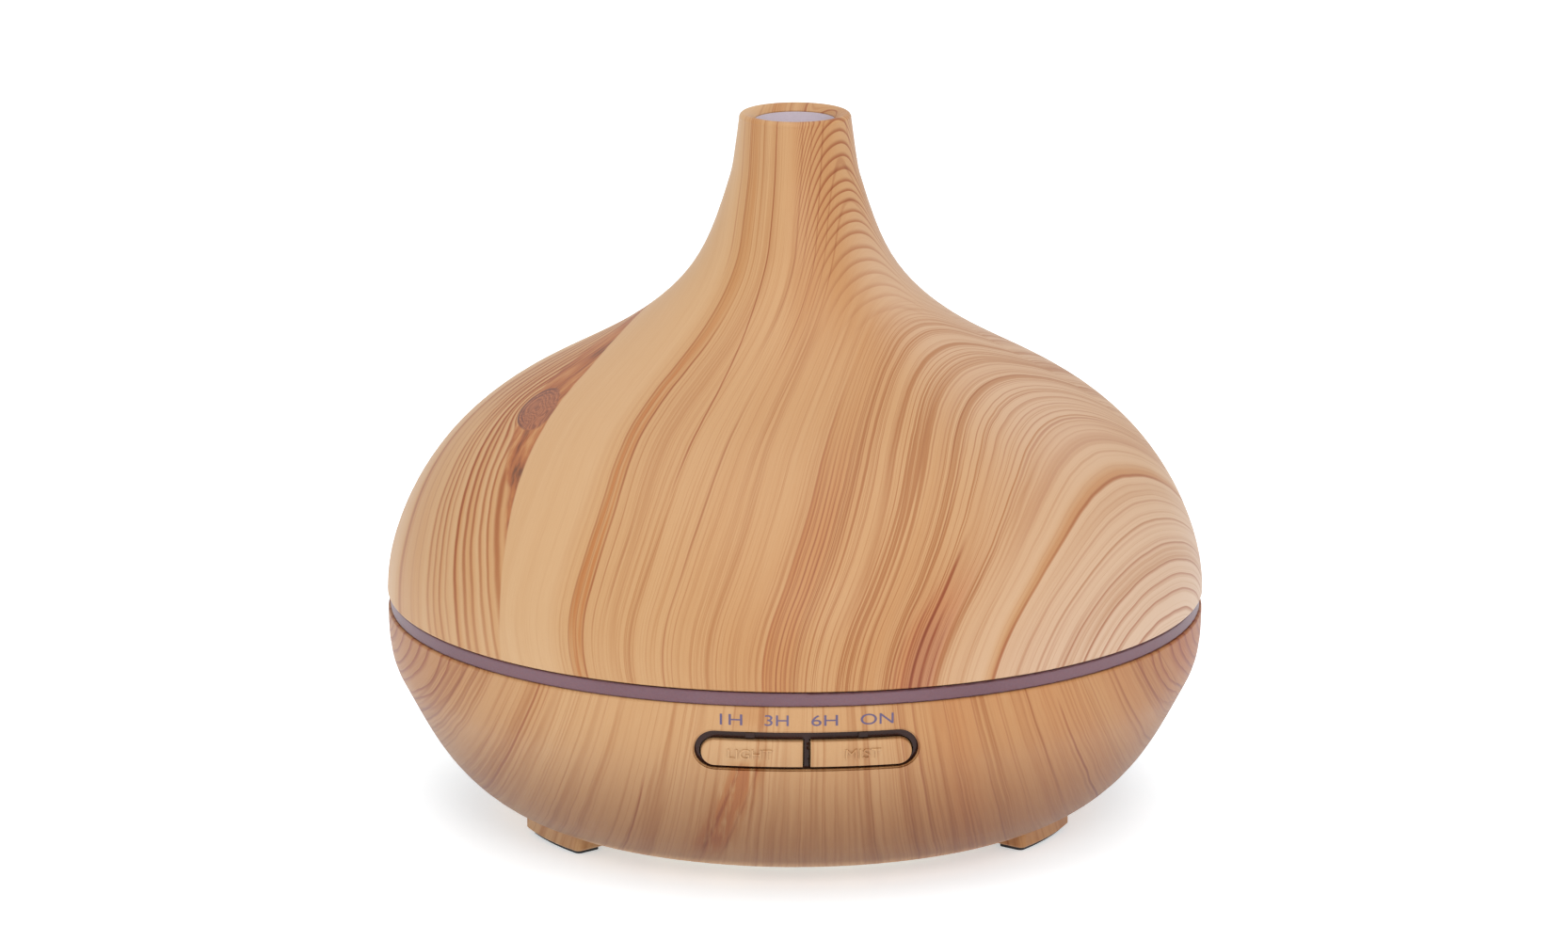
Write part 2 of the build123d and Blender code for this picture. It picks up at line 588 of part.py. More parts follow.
def make_switch(x):
    y0 = PANEL_Y - BOARD_T
    body = block(x - SWITCH_HALF, x + SWITCH_HALF, y0 - SWITCH_H, y0,
                 BUTTON_Z - SWITCH_HALF, BUTTON_Z + SWITCH_HALF)
    body = chamfer(body.edges().filter_by(Axis.Y), 0.4)
    return body - rod_y(x, BUTTON_Z, PLUNGER_R + 0.1, y0 - SWITCH_H - 1, y0 - 1.0)


def make_plunger(x):
    return rod_y(x, BUTTON_Z, PLUNGER_R, PANEL_Y - BOARD_T - 2.0, PLUNGER_TIP_Y)


def make_indicator_leds():
    y0 = PANEL_Y - BOARD_T
    return [block(x - 1.5, x + 1.5, y0 - 1.1, y0, MARK_Z - 0.8, MARK_Z + 0.8) for x in MARK_X]


def make_light_guide():
    """A clear comb: one finger from each indicator lamp to the back of its timer mark."""
    y0 = PANEL_Y - BOARD_T - 1.3
    height = (MARK_Z - 1.0, MARK_Z + 1.2)
    comb = block(MARK_X[0] - 4.7, MARK_X[-1] + 3.7, y0 - 1.6, y0, *height)
    for x in MARK_X:
        comb += block(x - 2.6, x + 2.6, -BODY_R, y0, *height)
    return comb & solid_under(beside(BASE_SKIN, -BASE_WALL - 0.1))


# ---- light ring lamps --------------------------------------------------------------------------
LED_COUNT = 9
LED_START = -90 + LED_GAP / 2
LED_SWEEP = 360 - LED_GAP


def make_led_board():
    board = arc_sector(*LED_RING_R, LED_START, LED_SWEEP, LED_RING_Z, LED_RING_Z + BOARD_T)
    for a in LED_POSTS:
        board -= post(*polar(LED_POST_R, a), SMALL_SCREW.clear_r, LED_RING_Z - 1, LED_RING_Z + 3)
    return board


def arc_sector(r_in, r_out, start, sweep, z0, z1):
    """A flat C-shaped plate."""
    end = start + sweep
    face = make_face([
        CenterArc((0, 0), r_out, start, sweep),
        Line(polar(r_out, end), polar(r_in, end)),
        CenterArc((0, 0), r_in, end, -sweep),
        Line(polar(r_in, start), polar(r_out, start)),
    ])
    return Pos(0, 0, z0) * extrude(face, z1 - z0)


def make_ring_leds():
    lamp = block(-2.5, 2.5, -2.5, 2.5, 0, 1.6) - Pos(0, 0, 1.45) * Cone(1.6, 2.1, 0.5)
    step = LED_SWEEP / LED_COUNT
    z = LED_RING_Z + BOARD_T
    return [Rot(0, 0, LED_START + step * (i + 0.5)) * Pos(LED_POST_R, 0, z) * lamp
            for i in range(LED_COUNT)]


def make_led_board_screws():
    one = Rot(180, 0, 0) * screw(SMALL_SCREW, 5.0)
    z = LED_RING_Z + BOARD_T + SMALL_SCREW.head_h
    return [Pos(*polar(LED_POST_R, a), z) * one for a in LED_POSTS]


# ---- fan ---------------------------------------------------------------------------------------
FAN_HUB_R = 8.5
FAN_BLADES = 7
FAN_SHAFT_R = 1.0
FAN_BASE_T = 1.2  # the motor's base plate and its struts
FAN_TIP_GAP = 0.75


def make_fan_frame():
    """Square frame, motor base on four struts, and the bearing tube."""
    half = FAN_SIDE / 2
    z0, z1 = FAN_Z
    frame = block(-half, half, -half, half, z0, z1)
    frame = fillet(frame.edges().filter_by(Axis.Z), 2.5)
    frame -= post(0, 0, FAN_BORE_R, z0 - 1, z1 + 1)
    for x in (-FAN_HOLES, FAN_HOLES):
        for y in (-FAN_HOLES, FAN_HOLES):
            frame -= post(x, y, FAN_SCREW.clear_r, z0 - 1, z1 + 1)
    base = post(0, 0, FAN_HUB_R + 0.6, z0, z0 + FAN_BASE_T) + post(0, 0, 2.4, z0, z1 - 2.6)
    for a in (25, 115, 205, 295):
        base += Rot(0, 0, a) * block(FAN_HUB_R - 1, FAN_BORE_R + 0.3, -0.8, 0.8, z0, z0 + FAN_BASE_T)
    frame += base
    frame -= post(0, 0, FAN_SHAFT_R + PLAY, z0 + 0.6, z1)
    return Pos(0, FAN_Y, 0) * frame


def make_fan_rotor():
    """Cup-shaped hub with pitched blades."""
    z0, z1 = FAN_Z[0] + 1.7, FAN_Z[1] - 0.5
    hub = post(0, 0, FAN_HUB_R, z0, z1) - post(0, 0, FAN_HUB_R - 1.2, z0 - 1, z1 - 1.2)
    hub += post(0, 0, 2.2, z1 - 1.8, z1)
    hub -= post(0, 0, FAN_SHAFT_R, z1 - 2.4, z1 - 0.5)
    middle = (z0 + z1) / 2
    tip = post(0, 0, FAN_BORE_R - FAN_TIP_GAP, z0 + 0.2, z1 - 0.2) - post(0, 0, FAN_HUB_R - 0.6, z0, z1)
    blades = hub
    for i in range(FAN_BLADES):
        blade = Pos(12.5, 0, middle) * Rot(38, 0, 0) * Box(10, 1.0, 12)
        blades += Rot(0, 0, 360 / FAN_BLADES * i) * (blade & tip)
    return Pos(0, FAN_Y, 0) * blades


def make_fan_shaft():
    return post(0, FAN_Y, FAN_SHAFT_R, FAN_Z[0] + 0.8, FAN_Z[1] - 1.0)


def make_fan_gasket():
    return Pos(0, FAN_Y, 0) * ring(15.2, 17.0, FAN_Z[1], TANK_LOW_Z)


def make_fan_screws():
    one = Rot(180, 0, 0) * screw(FAN_SCREW, 12.5)
    z = FAN_Z[1] + FAN_SCREW.head_h
    return [Pos(x, y, z) * one for x, y in (FAN_POSTS[0], FAN_POSTS[3])]


# ---- main board --------------------------------------------------------------------------------
BOARD_TOP = MAIN_BOARD_Z + MAIN_BOARD_T


def make_main_board():
    board = block(-38, 38, -37, -3, MAIN_BOARD_Z, BOARD_TOP)
    board = chamfer(board.edges().filter_by(Axis.Z), 5)
    for x, y in BOARD_POSTS:
        board -= post(x, y, SMALL_SCREW.clear_r, MAIN_BOARD_Z - 1, BOARD_TOP + 1)
    return board


def make_board_screws():
    one = Rot(180, 0, 0) * screw(SMALL_SCREW, 4.4)
    return [Pos(x, y, BOARD_TOP + SMALL_SCREW.head_h) * one for x, y in BOARD_POSTS]


CANS = ((-30, -16.5, 4.0, 9.0), (-31, -25.5, 3.15, 7.0))  # x, y, radius and height


def make_board_capacitors():
    cans = []
    for x, y, r, h in CANS:
        can = fillet(post(x, y, r, BOARD_TOP, BOARD_TOP + h).edges().group_by(Axis.Z)[-1], 0.5)
        groove = Pos(x, y, 0) * ring(r - 0.25, r + 1, BOARD_TOP + 1.2, BOARD_TOP + 1.7)
        cans.append(can - groove)
    return cans


COILS = ((25.5, -16.5), (25.5, -25.0))
COIL_R = (3.2, 3.7, 3.9)  # core, winding and drum
COIL_H = 6.5
WINDING_Z = (BOARD_TOP + 1.2, BOARD_TOP + 5.3)


def make_board_inductors():
    coils = []
    for x, y in COILS:
        drum = post(x, y, COIL_R[2], BOARD_TOP, BOARD_TOP + COIL_H)
        coils.append(drum - Pos(x, y, 0) * ring(COIL_R[0], 5, *WINDING_Z))
    return coils


def make_inductor_windings():
    return [Pos(x, y, 0) * ring(COIL_R[0], COIL_R[1], *WINDING_Z) for x, y in COILS]


SINK_FACE_Y = -33.5  # the transistor lies against it
SINK_TOP_Z = BOARD_TOP + 5.5


def make_heat_sink():
    back_y = SINK_FACE_Y - 2.0
    sink = block(-14, 4, back_y, SINK_FACE_Y, BOARD_TOP, SINK_TOP_Z)
    for i in range(5):
        x = -13.5 + 4 * i
        sink += block(x, x + 1, back_y - 1.3, back_y, BOARD_TOP, SINK_TOP_Z)
    return sink


def make_power_transistor():
    return block(-10, -3.5, SINK_FACE_Y, SINK_FACE_Y + 2.3, BOARD_TOP, BOARD_TOP + 5.0)


def make_control_chip():
    chip = block(18.5, 23.5, -12, -4, BOARD_TOP, BOARD_TOP + 1.5)
    return chamfer(chip.edges().group_by(Axis.Z)[-1], 0.25)


# name: (x, y, direction the plug leaves in, in degrees from +Y)
SOCKETS = {
    "power": (-25.0, -6.5, 0),
    "fan": (-17.0, -6.5, 0),
    "disc": (-20.5, -15.0, -90),
    "ring": (34.5, -20.0, -90),
    "buttons": (10.0, -33.0, 180),
}
SOCKET_Z = BOARD_TOP + 1.8


def make_board_connectors():
    shell = block(-3, 3, -2.5, 2.5, 0, 3.6) - block(-2.4, 2.4, -1, 3, 0.6, 3.0)
    return [Pos(x, y, BOARD_TOP) * Rot(0, 0, turn) * shell for x, y, turn in SOCKETS.values()]


# ---- power inlet -------------------------------------------------------------------------------
JACK_BODY_Y = (55.5, 62.0)


def make_jack_body():
    nose = rod_y(0, JACK_Z, JACK_NOSE_R, JACK_BODY_Y[1] - 0.5, JACK_FACE_Y)
    body = block(-4.5, 4.5, *JACK_BODY_Y, JACK_Z - 4, JACK_Z + 4)
    body = nose + chamfer(body.edges().filter_by(Axis.Y), 0.6)
    return body - rod_y(0, JACK_Z, JACK_BORE_R, JACK_FACE_Y - JACK_DEPTH, JACK_FACE_Y + 1)


def make_jack_pin():
    return rod_y(0, JACK_Z, JACK_PIN_R, JACK_FACE_Y - JACK_DEPTH, JACK_FACE_Y - 0.7)


# ---- inner leads -------------------------------------------------------------------------------
def lead(profile, points, radius):
    """A lead along straight runs joined by arcs."""
    path = FilletPolyline(*points, radius=radius)
    start = Plane(path @ 0, x_dir=(1, 0, 0), z_dir=path % 0)
    return sweep(start * profile, path=path)


def make_fan_lead():
    y = FAN_Y - FAN_SIDE / 2
    points = [(-17, -7.5, SOCKET_Z), (-17, 1, SOCKET_Z), (-12, 5.5, SOCKET_Z), (-12, y, SOCKET_Z)]
    return lead(Circle(0.8), points, 2.5)


def make_power_lead():
    points = [(0, JACK_BODY_Y[0], 14), (0, 50, 14), (-25, 50, 12), (-25, -7.5, SOCKET_Z)]
    return lead(Circle(1.1), points, 3.5)


def make_disc_lead():
    points = [(-21.5, WELL_Y, SOCKET_Z), (-3, WELL_Y, SOCKET_Z), (-3, WELL_Y, DISC_Z[0])]
    path = FilletPolyline(*points, radius=1.8)
    return sweep(Plane(path @ 0, z_dir=path % 0) * Circle(0.6), path=path)


def make_ring_light_lead():
    points = [(33.5, -20, SOCKET_Z), (53, -20, SOCKET_Z), (66, -25, 24), (66, -25, LED_RING_Z)]
    path = FilletPolyline(*points, radius=4)
    return sweep(Plane(path @ 0, z_dir=path % 0) * Circle(0.8), path=path)


def make_button_ribbon():
    x = 10
    points = [(x, -32, SOCKET_Z), (x, -55, SOCKET_Z), (x, -67.5, 22), (x, -67.5, 31), (x, PANEL_Y, 31)]
    return lead(Rectangle(4.4, 0.8), points, 1.5)


PARTS = {
    "top_cover": make_top_cover,
    "mist_hood": make_mist_hood,
    "cover_screws": make_cover_screws,
    "light_ring": make_light_ring,
    "tank_gasket": make_tank_gasket,
    "water_tank": make_water_tank,
    "air_duct": make_air_duct,
    "air_outlet_cap": make_air_outlet_cap,
    "transducer_disc": make_transducer_disc,
    "disc_seal": make_disc_seal,
    "disc_clamp": make_disc_clamp,
    "clamp_screws": make_clamp_screws,
    "base_shell": make_base_shell,
    "foot_pads": make_foot_pads,
    "bottom_cover": make_bottom_cover,
    "bottom_screws": make_bottom_screws,
    "button_bezel": make_button_bezel,
    "light_button": lambda: make_button(-1),
    "mist_button": lambda: make_button(1),
    "control_board": make_control_board,
    "panel_screws": make_panel_screws,
    "light_switch": lambda: make_switch(-BUTTON_X),
    "mist_switch": lambda: make_switch(BUTTON_X),
    "light_switch_plunger": lambda: make_plunger(-BUTTON_X),
    "mist_switch_plunger": lambda: make_plunger(BUTTON_X),
    "indicator_lamps": make_indicator_leds,
    "indicator_light_guide": make_light_guide,
    "led_board": make_led_board,
    "ring_lamps": make_ring_leds,
    "led_board_screws": make_led_board_screws,
    "fan_frame": make_fan_frame,
    "fan_rotor": make_fan_rotor,
    "fan_shaft": make_fan_shaft,
    "fan_gasket": make_fan_gasket,
    "fan_screws": make_fan_screws,
    "main_board": make_main_board,
    "board_screws": make_board_screws,
    "board_capacitors": make_board_capacitors,
    "board_inductors": make_board_inductors,
    "inductor_windings": make_inductor_windings,
    "heat_sink": make_heat_sink,
    "power_transistor": make_power_transistor,
    "control_chip": make_control_chip,
    "board_connectors": make_board_connectors,
    "jack_body": make_jack_body,
    "jack_pin": make_jack_pin,
    "fan_lead": make_fan_lead,
    "power_lead": make_power_lead,
    "disc_lead": make_disc_lead,
    "ring_light_lead": make_ring_light_lead,
    "button_ribbon": make_button_ribbon,
}

for name, make in PARTS.items():
    made = make()
    write(name, Compound(made) if isinstance(made, list) else made)
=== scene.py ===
"""Looks of the essential oil diffuser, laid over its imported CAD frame.

It makes the materials, the marks by the buttons, the floor, the light and the camera.
"""

import math

import bpy
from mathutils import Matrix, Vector
from mathutils.bvhtree import BVHTree


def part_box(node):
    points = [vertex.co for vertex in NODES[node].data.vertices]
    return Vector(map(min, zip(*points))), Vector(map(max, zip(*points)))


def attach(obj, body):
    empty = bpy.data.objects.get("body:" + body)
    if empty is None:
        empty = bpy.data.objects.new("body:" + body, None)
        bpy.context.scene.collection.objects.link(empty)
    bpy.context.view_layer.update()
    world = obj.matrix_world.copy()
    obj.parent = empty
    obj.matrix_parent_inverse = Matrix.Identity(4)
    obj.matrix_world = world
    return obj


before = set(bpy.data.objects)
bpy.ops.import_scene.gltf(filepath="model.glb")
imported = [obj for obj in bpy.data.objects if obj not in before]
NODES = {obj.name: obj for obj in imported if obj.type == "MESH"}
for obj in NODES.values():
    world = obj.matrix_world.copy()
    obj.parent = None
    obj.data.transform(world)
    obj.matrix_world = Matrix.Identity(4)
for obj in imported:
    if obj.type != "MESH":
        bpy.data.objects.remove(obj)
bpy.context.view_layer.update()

# ---- camera ------------------------------------------------------------------------------------
SENSOR_MM = 36.0
LENS_MM = 167.0
CAMERA_DISTANCE = 1.4965
CAMERA_ELEVATION = 13.77  # degrees above the horizon
CAMERA_TURN = -1.5  # degrees: the object is turned a little against the camera
AIM_HEIGHT = 0.07095
AIM_SIDE = -0.00227


def add_camera():
    turn, rise = math.radians(CAMERA_TURN), math.radians(CAMERA_ELEVATION)
    back = Vector((math.sin(turn) * math.cos(rise), -math.cos(turn) * math.cos(rise), math.sin(rise)))
    right = Vector((math.cos(turn), math.sin(turn), 0))
    aim = right * AIM_SIDE + Vector((0, 0, AIM_HEIGHT))
    data = bpy.data.cameras.new("camera")
    data.lens = LENS_MM
    data.sensor_width = SENSOR_MM
    data.clip_start, data.clip_end = 0.05, 20
    camera = bpy.data.objects.new("camera", data)
    camera.location = aim + back * CAMERA_DISTANCE
    camera.rotation_mode = "QUATERNION"
    camera.rotation_quaternion = (-back).to_track_quat("-Z", "Y")
    bpy.context.scene.collection.objects.link(camera)
    bpy.context.scene.camera = camera


# ---- shader arithmetic -------------------------------------------------------------------------
class Field:
    """A number that varies over a surface. Arithmetic on it adds math nodes to its material."""

    def __init__(self, tree, socket):
        self.tree = tree
        self.socket = socket

    def math(self, operation, *others):
        node = self.tree.nodes.new("ShaderNodeMath")
        node.operation = operation
        for i, value in enumerate((self, *others)):
            if isinstance(value, Field):
                self.tree.links.new(value.socket, node.inputs[i])
            else:
                node.inputs[i].default_value = value
        return Field(self.tree, node.outputs[0])

    def __add__(self, other):
        return self.math("ADD", other)

    def __sub__(self, other):
        return self.math("SUBTRACT", other)

    def __mul__(self, other):
        return self.math("MULTIPLY", other)

    def __truediv__(self, other):
        return self.math("DIVIDE", other)

    def __neg__(self):
        return self.math("MULTIPLY", -1.0)

    __radd__ = __add__
    __rmul__ = __mul__

    def __rsub__(self, other):
        return -self + other

    def sqrt(self):
        return self.math("SQRT")

    def at_least(self, value):
        return self.math("MAXIMUM", value)

    def at_most(self, value):
        return self.math("MINIMUM", value)

    def step(self, low, high):
        """0 below low, 1 above high and smooth between; falls instead if low is above high."""
        node = self.tree.nodes.new("ShaderNodeMapRange")
        node.interpolation_type = "SMOOTHSTEP"
        self.tree.links.new(self.socket, node.inputs["Value"])
        node.inputs["From Min"].default_value = low
        node.inputs["From Max"].default_value = high
        return Field(self.tree, node.outputs["Result"])

    def bump(self, centre, half_width, softness=0.5):
        """1 near centre, 0 beyond half_width from it, with soft sides."""
        away = (self - centre).math("ABSOLUTE")
        return away.step(half_width, half_width * softness)


class Paint:
    """One material under construction: helpers for fields, noise and colour."""

    def __init__(self, name):
        self.material = bpy.data.materials.new(name)
        self.material.use_nodes = True
        self.tree = self.material.node_tree
        self.shader = self.tree.nodes["Principled BSDF"]
        self.place = self.tree.nodes.new("ShaderNodeTexCoord").outputs["Object"]

    def axes(self):
        """x, y and z in millimetres, in the part's frame."""
        scaled = self.tree.nodes.new("ShaderNodeVectorMath")
        scaled.operation = "SCALE"
        scaled.inputs["Scale"].default_value = 1000.0
        self.tree.links.new(self.place, scaled.inputs[0])
        split = self.tree.nodes.new("ShaderNodeSeparateXYZ")
        self.tree.links.new(scaled.outputs[0], split.inputs[0])
        return [Field(self.tree, s) for s in split.outputs]

    def noise(self, x, y, z, detail, roughness=0.5):
        """Smooth noise from 0 to 1 at a point; each coordinate is a field or a number."""
        point = self.tree.nodes.new("ShaderNodeCombineXYZ")
        for value, socket in zip((x, y, z), point.inputs):
            if isinstance(value, Field):
                self.tree.links.new(value.socket, socket)
            else:
                socket.default_value = value
        node = self.tree.nodes.new("ShaderNodeTexNoise")
        node.inputs["Scale"].default_value = 1.0
        node.inputs["Detail"].default_value = detail
        node.inputs["Roughness"].default_value = roughness
        self.tree.links.new(point.outputs[0], node.inputs["Vector"])
        return Field(self.tree, node.outputs["Fac"])

    def ramp(self, field, stops):
        """A colour that follows a field through (position, colour) stops."""
        node = self.tree.nodes.new("ShaderNodeValToRGB")
        elements = node.color_ramp.elements
        while len(elements) < len(stops):
            elements.new(0.5)
        for element, (position, colour) in zip(elements, stops):
            element.position = position
            element.color = (*colour, 1)
        self.tree.links.new(field.socket, node.inputs["Fac"])
        return node.outputs["Color"]

    def mix(self, amount, first, second, blend="MIX"):
        """first where the field is 0 and second where it is 1; either may be a colour or a socket."""
        node = self.tree.nodes.new("ShaderNodeMix")
        node.data_type = "RGBA"
        node.blend_type = blend
        self.tree.links.new(amount.socket, node.inputs["Factor"])
        for value, socket in ((first, node.inputs[6]), (second, node.inputs[7])):
            if isinstance(value, bpy.types.NodeSocket):
                self.tree.links.new(value, socket)
            else:
                socket.default_value = (*value, 1)
        return node.outputs[2]

    def colour(self, socket):
        self.tree.links.new(socket, self.shader.inputs["Base Color"])

    def roughness(self, field):
        self.tree.links.new(field.socket, self.shader.inputs["Roughness"])

    def relief(self, height, depth_mm):
        """Bump from a field of 0 to 1 that stands for depth_mm of height."""
        node = self.tree.nodes.new("ShaderNodeBump")
        node.inputs["Strength"].default_value = 1.0
        node.inputs["Distance"].default_value = depth_mm / 1000
        self.tree.links.new(height.socket, node.inputs["Height"])
        self.tree.links.new(node.outputs["Normal"], self.shader.inputs["Normal"])

    def fix(self, **values):
        """Uniform values on the shader's own sockets."""
        for name, value in values.items():
            self.shader.inputs[name.replace("_", " ")].default_value = value


def srgb(red, green, blue):
    """A linear colour from 8-bit display values."""
    def linear(c):
        c = c / 255
        return c / 12.92 if c <= 0.04045 else ((c + 0.055) / 1.055) ** 2.4
    return linear(red), linear(green), linear(blue)


# ---- wood grain --------------------------------------------------------------------------------
WOOD_LEVEL = 0.72  # the finish is this share as bright as the named display colours


def wood(red, green, blue):
    """A linear colour of the printed wood finish from 8-bit display values."""
    return tuple(c * WOOD_LEVEL for c in srgb(red, green, blue))


PALE = wood(228, 186, 140)
TAN = wood(216, 167, 116)
WARM = wood(206, 150, 96)
AMBER = wood(198, 127, 70)
RUST = wood(172, 96, 52)
ROSE = wood(232, 200, 174)
BARK = wood(110, 58, 36)
# each of these is what a darker line or shade leaves of the tone under it
THREAD = (0.66, 0.43, 0.25)
RED_THREAD = (0.60, 0.32, 0.20)
RIB_EDGE = (0.86, 0.64, 0.38)
RIB_CORE = (0.60, 0.31, 0.15)
SIDE_ARC = (0.66, 0.36, 0.20)
# painted shade: what the base keeps of its tone towards its bottom
PAINTED_LOW_SHADE = (0.52, 0.43, 0.37)
# painted shade: what the base keeps of its tone at its left and right ends
PAINTED_END_SHADE = (0.74, 0.56, 0.40)
BODY_R = 84.0  # radius of the widest part, in millimetres
RING_Z = 48.0  # height just over the cover's lower edge, where its grain starts to lean, in millimetres
ALWAYS = None  # a thread with this in place of a fade doesn't fade on that side
# the amber streaks right of the seam: from and to, in millimetres across the grain
STREAK_A = (-26.3, -23.8)
STREAK_B = (12.8, 15.0)
STREAK_C = (51.8, 54.4)

# thin lines of the cover right of its seam: millimetres across the grain, half-width, strength, and the
# heights over which each fades in from below and out towards the top, from none of it to all of it
COVER_THREADS = (
    (-28.4, 0.30, 0.45, (112, 122), ALWAYS),
    (-26.1, 0.25, 0.50, ALWAYS, ALWAYS),
    (-24.6, 0.18, 0.35, ALWAYS, (104, 92)),
    (-23.1, 0.32, 0.75, ALWAYS, (112, 100)),
    (-21.2, 0.22, 0.30, (52, 60), (84, 74)),
    (-18.8, 0.28, 0.45, (58, 66), (80, 72)),
    (-16.9, 0.20, 0.28, (56, 64), (84, 74)),
    (-13.2, 0.22, 0.25, ALWAYS, (80, 70)),
    (-9.8, 0.20, 0.25, ALWAYS, (86, 70)),
    (-6.4, 0.30, 0.55, ALWAYS, (98, 88)),
    (-4.6, 0.20, 0.30, ALWAYS, (88, 72)),
    (-9.6, 0.24, 0.50, (100, 110), ALWAYS),
    (-7.0, 0.22, 0.40, (104, 114), ALWAYS),
    (-4.2, 0.26, 0.60, (98, 106), ALWAYS),
    (-1.6, 0.22, 0.45, (94, 108), ALWAYS),
    (0.6, 0.26, 0.40, (90, 106), ALWAYS),
    (3.4, 0.20, 0.22, ALWAYS, (84, 70)),
    (13.2, 0.35, 0.55, ALWAYS, (104, 92)),
    (14.5, 0.22, 0.50, ALWAYS, (96, 80)),
    (15.7, 0.22, 0.50, ALWAYS, (92, 76)),
    (17.2, 0.24, 0.40, ALWAYS, (86, 70)),
    (19.6, 0.20, 0.40, ALWAYS, (70, 58)),
    (36.6, 0.22, 0.30, ALWAYS, (96, 84)),
    (37.4, 0.30, 0.70, ALWAYS, (62, 54)),
    (38.9, 0.36, 0.90, ALWAYS, (68, 58)),
    (40.5, 0.45, 1.40, ALWAYS, (76, 64)),
    (42.0, 0.36, 1.10, ALWAYS, (66, 56)),
    (43.6, 0.30, 0.80, ALWAYS, (62, 52)),
    (45.4, 0.20, 0.40, (58, 68), ALWAYS),
    (49.0, 0.35, 0.35, (66, 78), ALWAYS),
    (54.4, 0.40, 0.65, ALWAYS, ALWAYS),
    (58.2, 0.22, 0.30, ALWAYS, ALWAYS),
    (61.0, 0.26, 0.34, ALWAYS, ALWAYS),
    (64.0, 0.24, 0.34, ALWAYS, ALWAYS),
)
# the ribs left of the seam: degrees across the grain, half-width, strength
SIDE_RIBS = (
    (-28.5, 1.1, 0.60),
    (-23.0, 0.6, 0.20),
    (-20.0, 0.5, 0.22),
    (-16.6, 0.6, 0.55),
    (-14.7, 0.5, 0.55),
    (-12.9, 0.5, 0.65),
    (-11.2, 0.4, 0.40),
    (-8.8, 0.6, 1.00),
    (-6.4, 0.7, 0.75),
    (-4.6, 0.6, 0.70),
    (-2.4, 0.6, 0.60),
    (-0.6, 0.5, 0.65),
    (1.6, 1.1, 0.70),
)
KNOT_TURN, KNOT_Z = -67.5, 89.5  # degrees round the body and height in millimetres
KNOT_R = 6.6  # half the knot's width, in degrees round the body
RIB_LEAN = 0.2  # degrees for each millimetre of height, at the bottom
RIB_LEAN_GAIN = 0.00775  # how fast the ribs' lean grows with height
SIDE_TURN = 92.0  # degrees round the body to the middle of the base's side arcs
SIDE_MM = 1.466  # millimetres round the widest part for each degree


def rotate(x, y, degrees):
    """The coordinate across a family of vertical planes turned by degrees, and the one along them."""
    c, s = math.cos(math.radians(degrees)), math.sin(math.radians(degrees))
    return x * c + y * s, y * c - x * s


def azimuth(x, y, turn=0.0):
    """Degrees round the body from the front, positive to +X; it jumps at the back, turned by -turn."""
    ahead, aside = rotate(-y, x, -turn)
    return aside.math("ARCTAN2", ahead) * (180 / math.pi) - turn


def strands(paint, across, along, pitch, seed, sharp=16.0):
    """Thin lines that wander a little along the grain, from 0 to 1."""
    level = paint.noise(across * (1 / pitch), along * 0.006, seed, 1, 0.5)
    crest = ((level - 0.5).math("ABSOLUTE") * -sharp + 1.0).at_least(0.0)
    depth = paint.noise(across * 0.35, along * 0.012, seed + 4.7, 1, 0.5).step(0.30, 0.66)
    return crest * depth


def rings(paint, across, along, period, seed, fade=0.55):
    """Growth rings: a dark edge every period that fades away on one side."""
    wander = paint.noise(across * 0.10, along * 0.012, seed, 1, 0.5) * 1.6
    phase = (across * (1 / period) + wander).math("FRACT")
    return phase.step(fade, 0.06) * phase.step(0.0, 0.07)


def band(field, low, high, rise=0.4, fall=0.4):
    """1 between low and high, with its own softness on each side."""
    return field.step(low, low + rise) * field.step(high + fall, high)


def thread_sum(field, z, threads):
    """Single thin lines, each within its own range of heights."""
    total = None
    for centre, half_width, strength, rise, fall in threads:
        line = field.bump(centre, half_width, 0.2) * strength
        if rise:
            line = line * z.step(*rise)
        if fall:
            line = line * z.step(*fall)
        total = line if total is None else total + line
    return total


def tone_colour(paint, tone):
    return paint.ramp(tone, [(0.0, PALE), (0.3, TAN), (0.52, WARM), (0.76, AMBER), (1.0, RUST)])


def pores(paint, across, along, seed):
    """Short fine fibres, from 0 to 1."""
    return paint.noise(across * 4.5, along * 0.22, seed, 2, 0.6)


def cover_layer(x, y, z, angle):
    """Millimetres across the grain right of the seam: layers that lean, and arch over on the right."""
    across, _ = rotate(x, y, -17)
    r = (x * x + y * y).sqrt()
    climb = (z - RING_Z).at_least(-2.0).at_most(62.0)
    height = climb * (climb * -0.009355 + 1.16)
    lean = (across * 0.0055 + 0.25).at_least(0.03)
    turn = (angle.at_most(88.0) - 18.0).at_least(0.0)
    arch = turn * turn * 0.0027 * angle.step(175, 100)
    low = (62.0 - z).at_least(0.0)
    shift = low * low * 0.015 + z.step(88, 122) * 7.6 - across.step(0, -20) * z.step(74, 98) * 3.4
    return across / (r * (0.5 / BODY_R) + 0.5) - lean * height - arch - shift


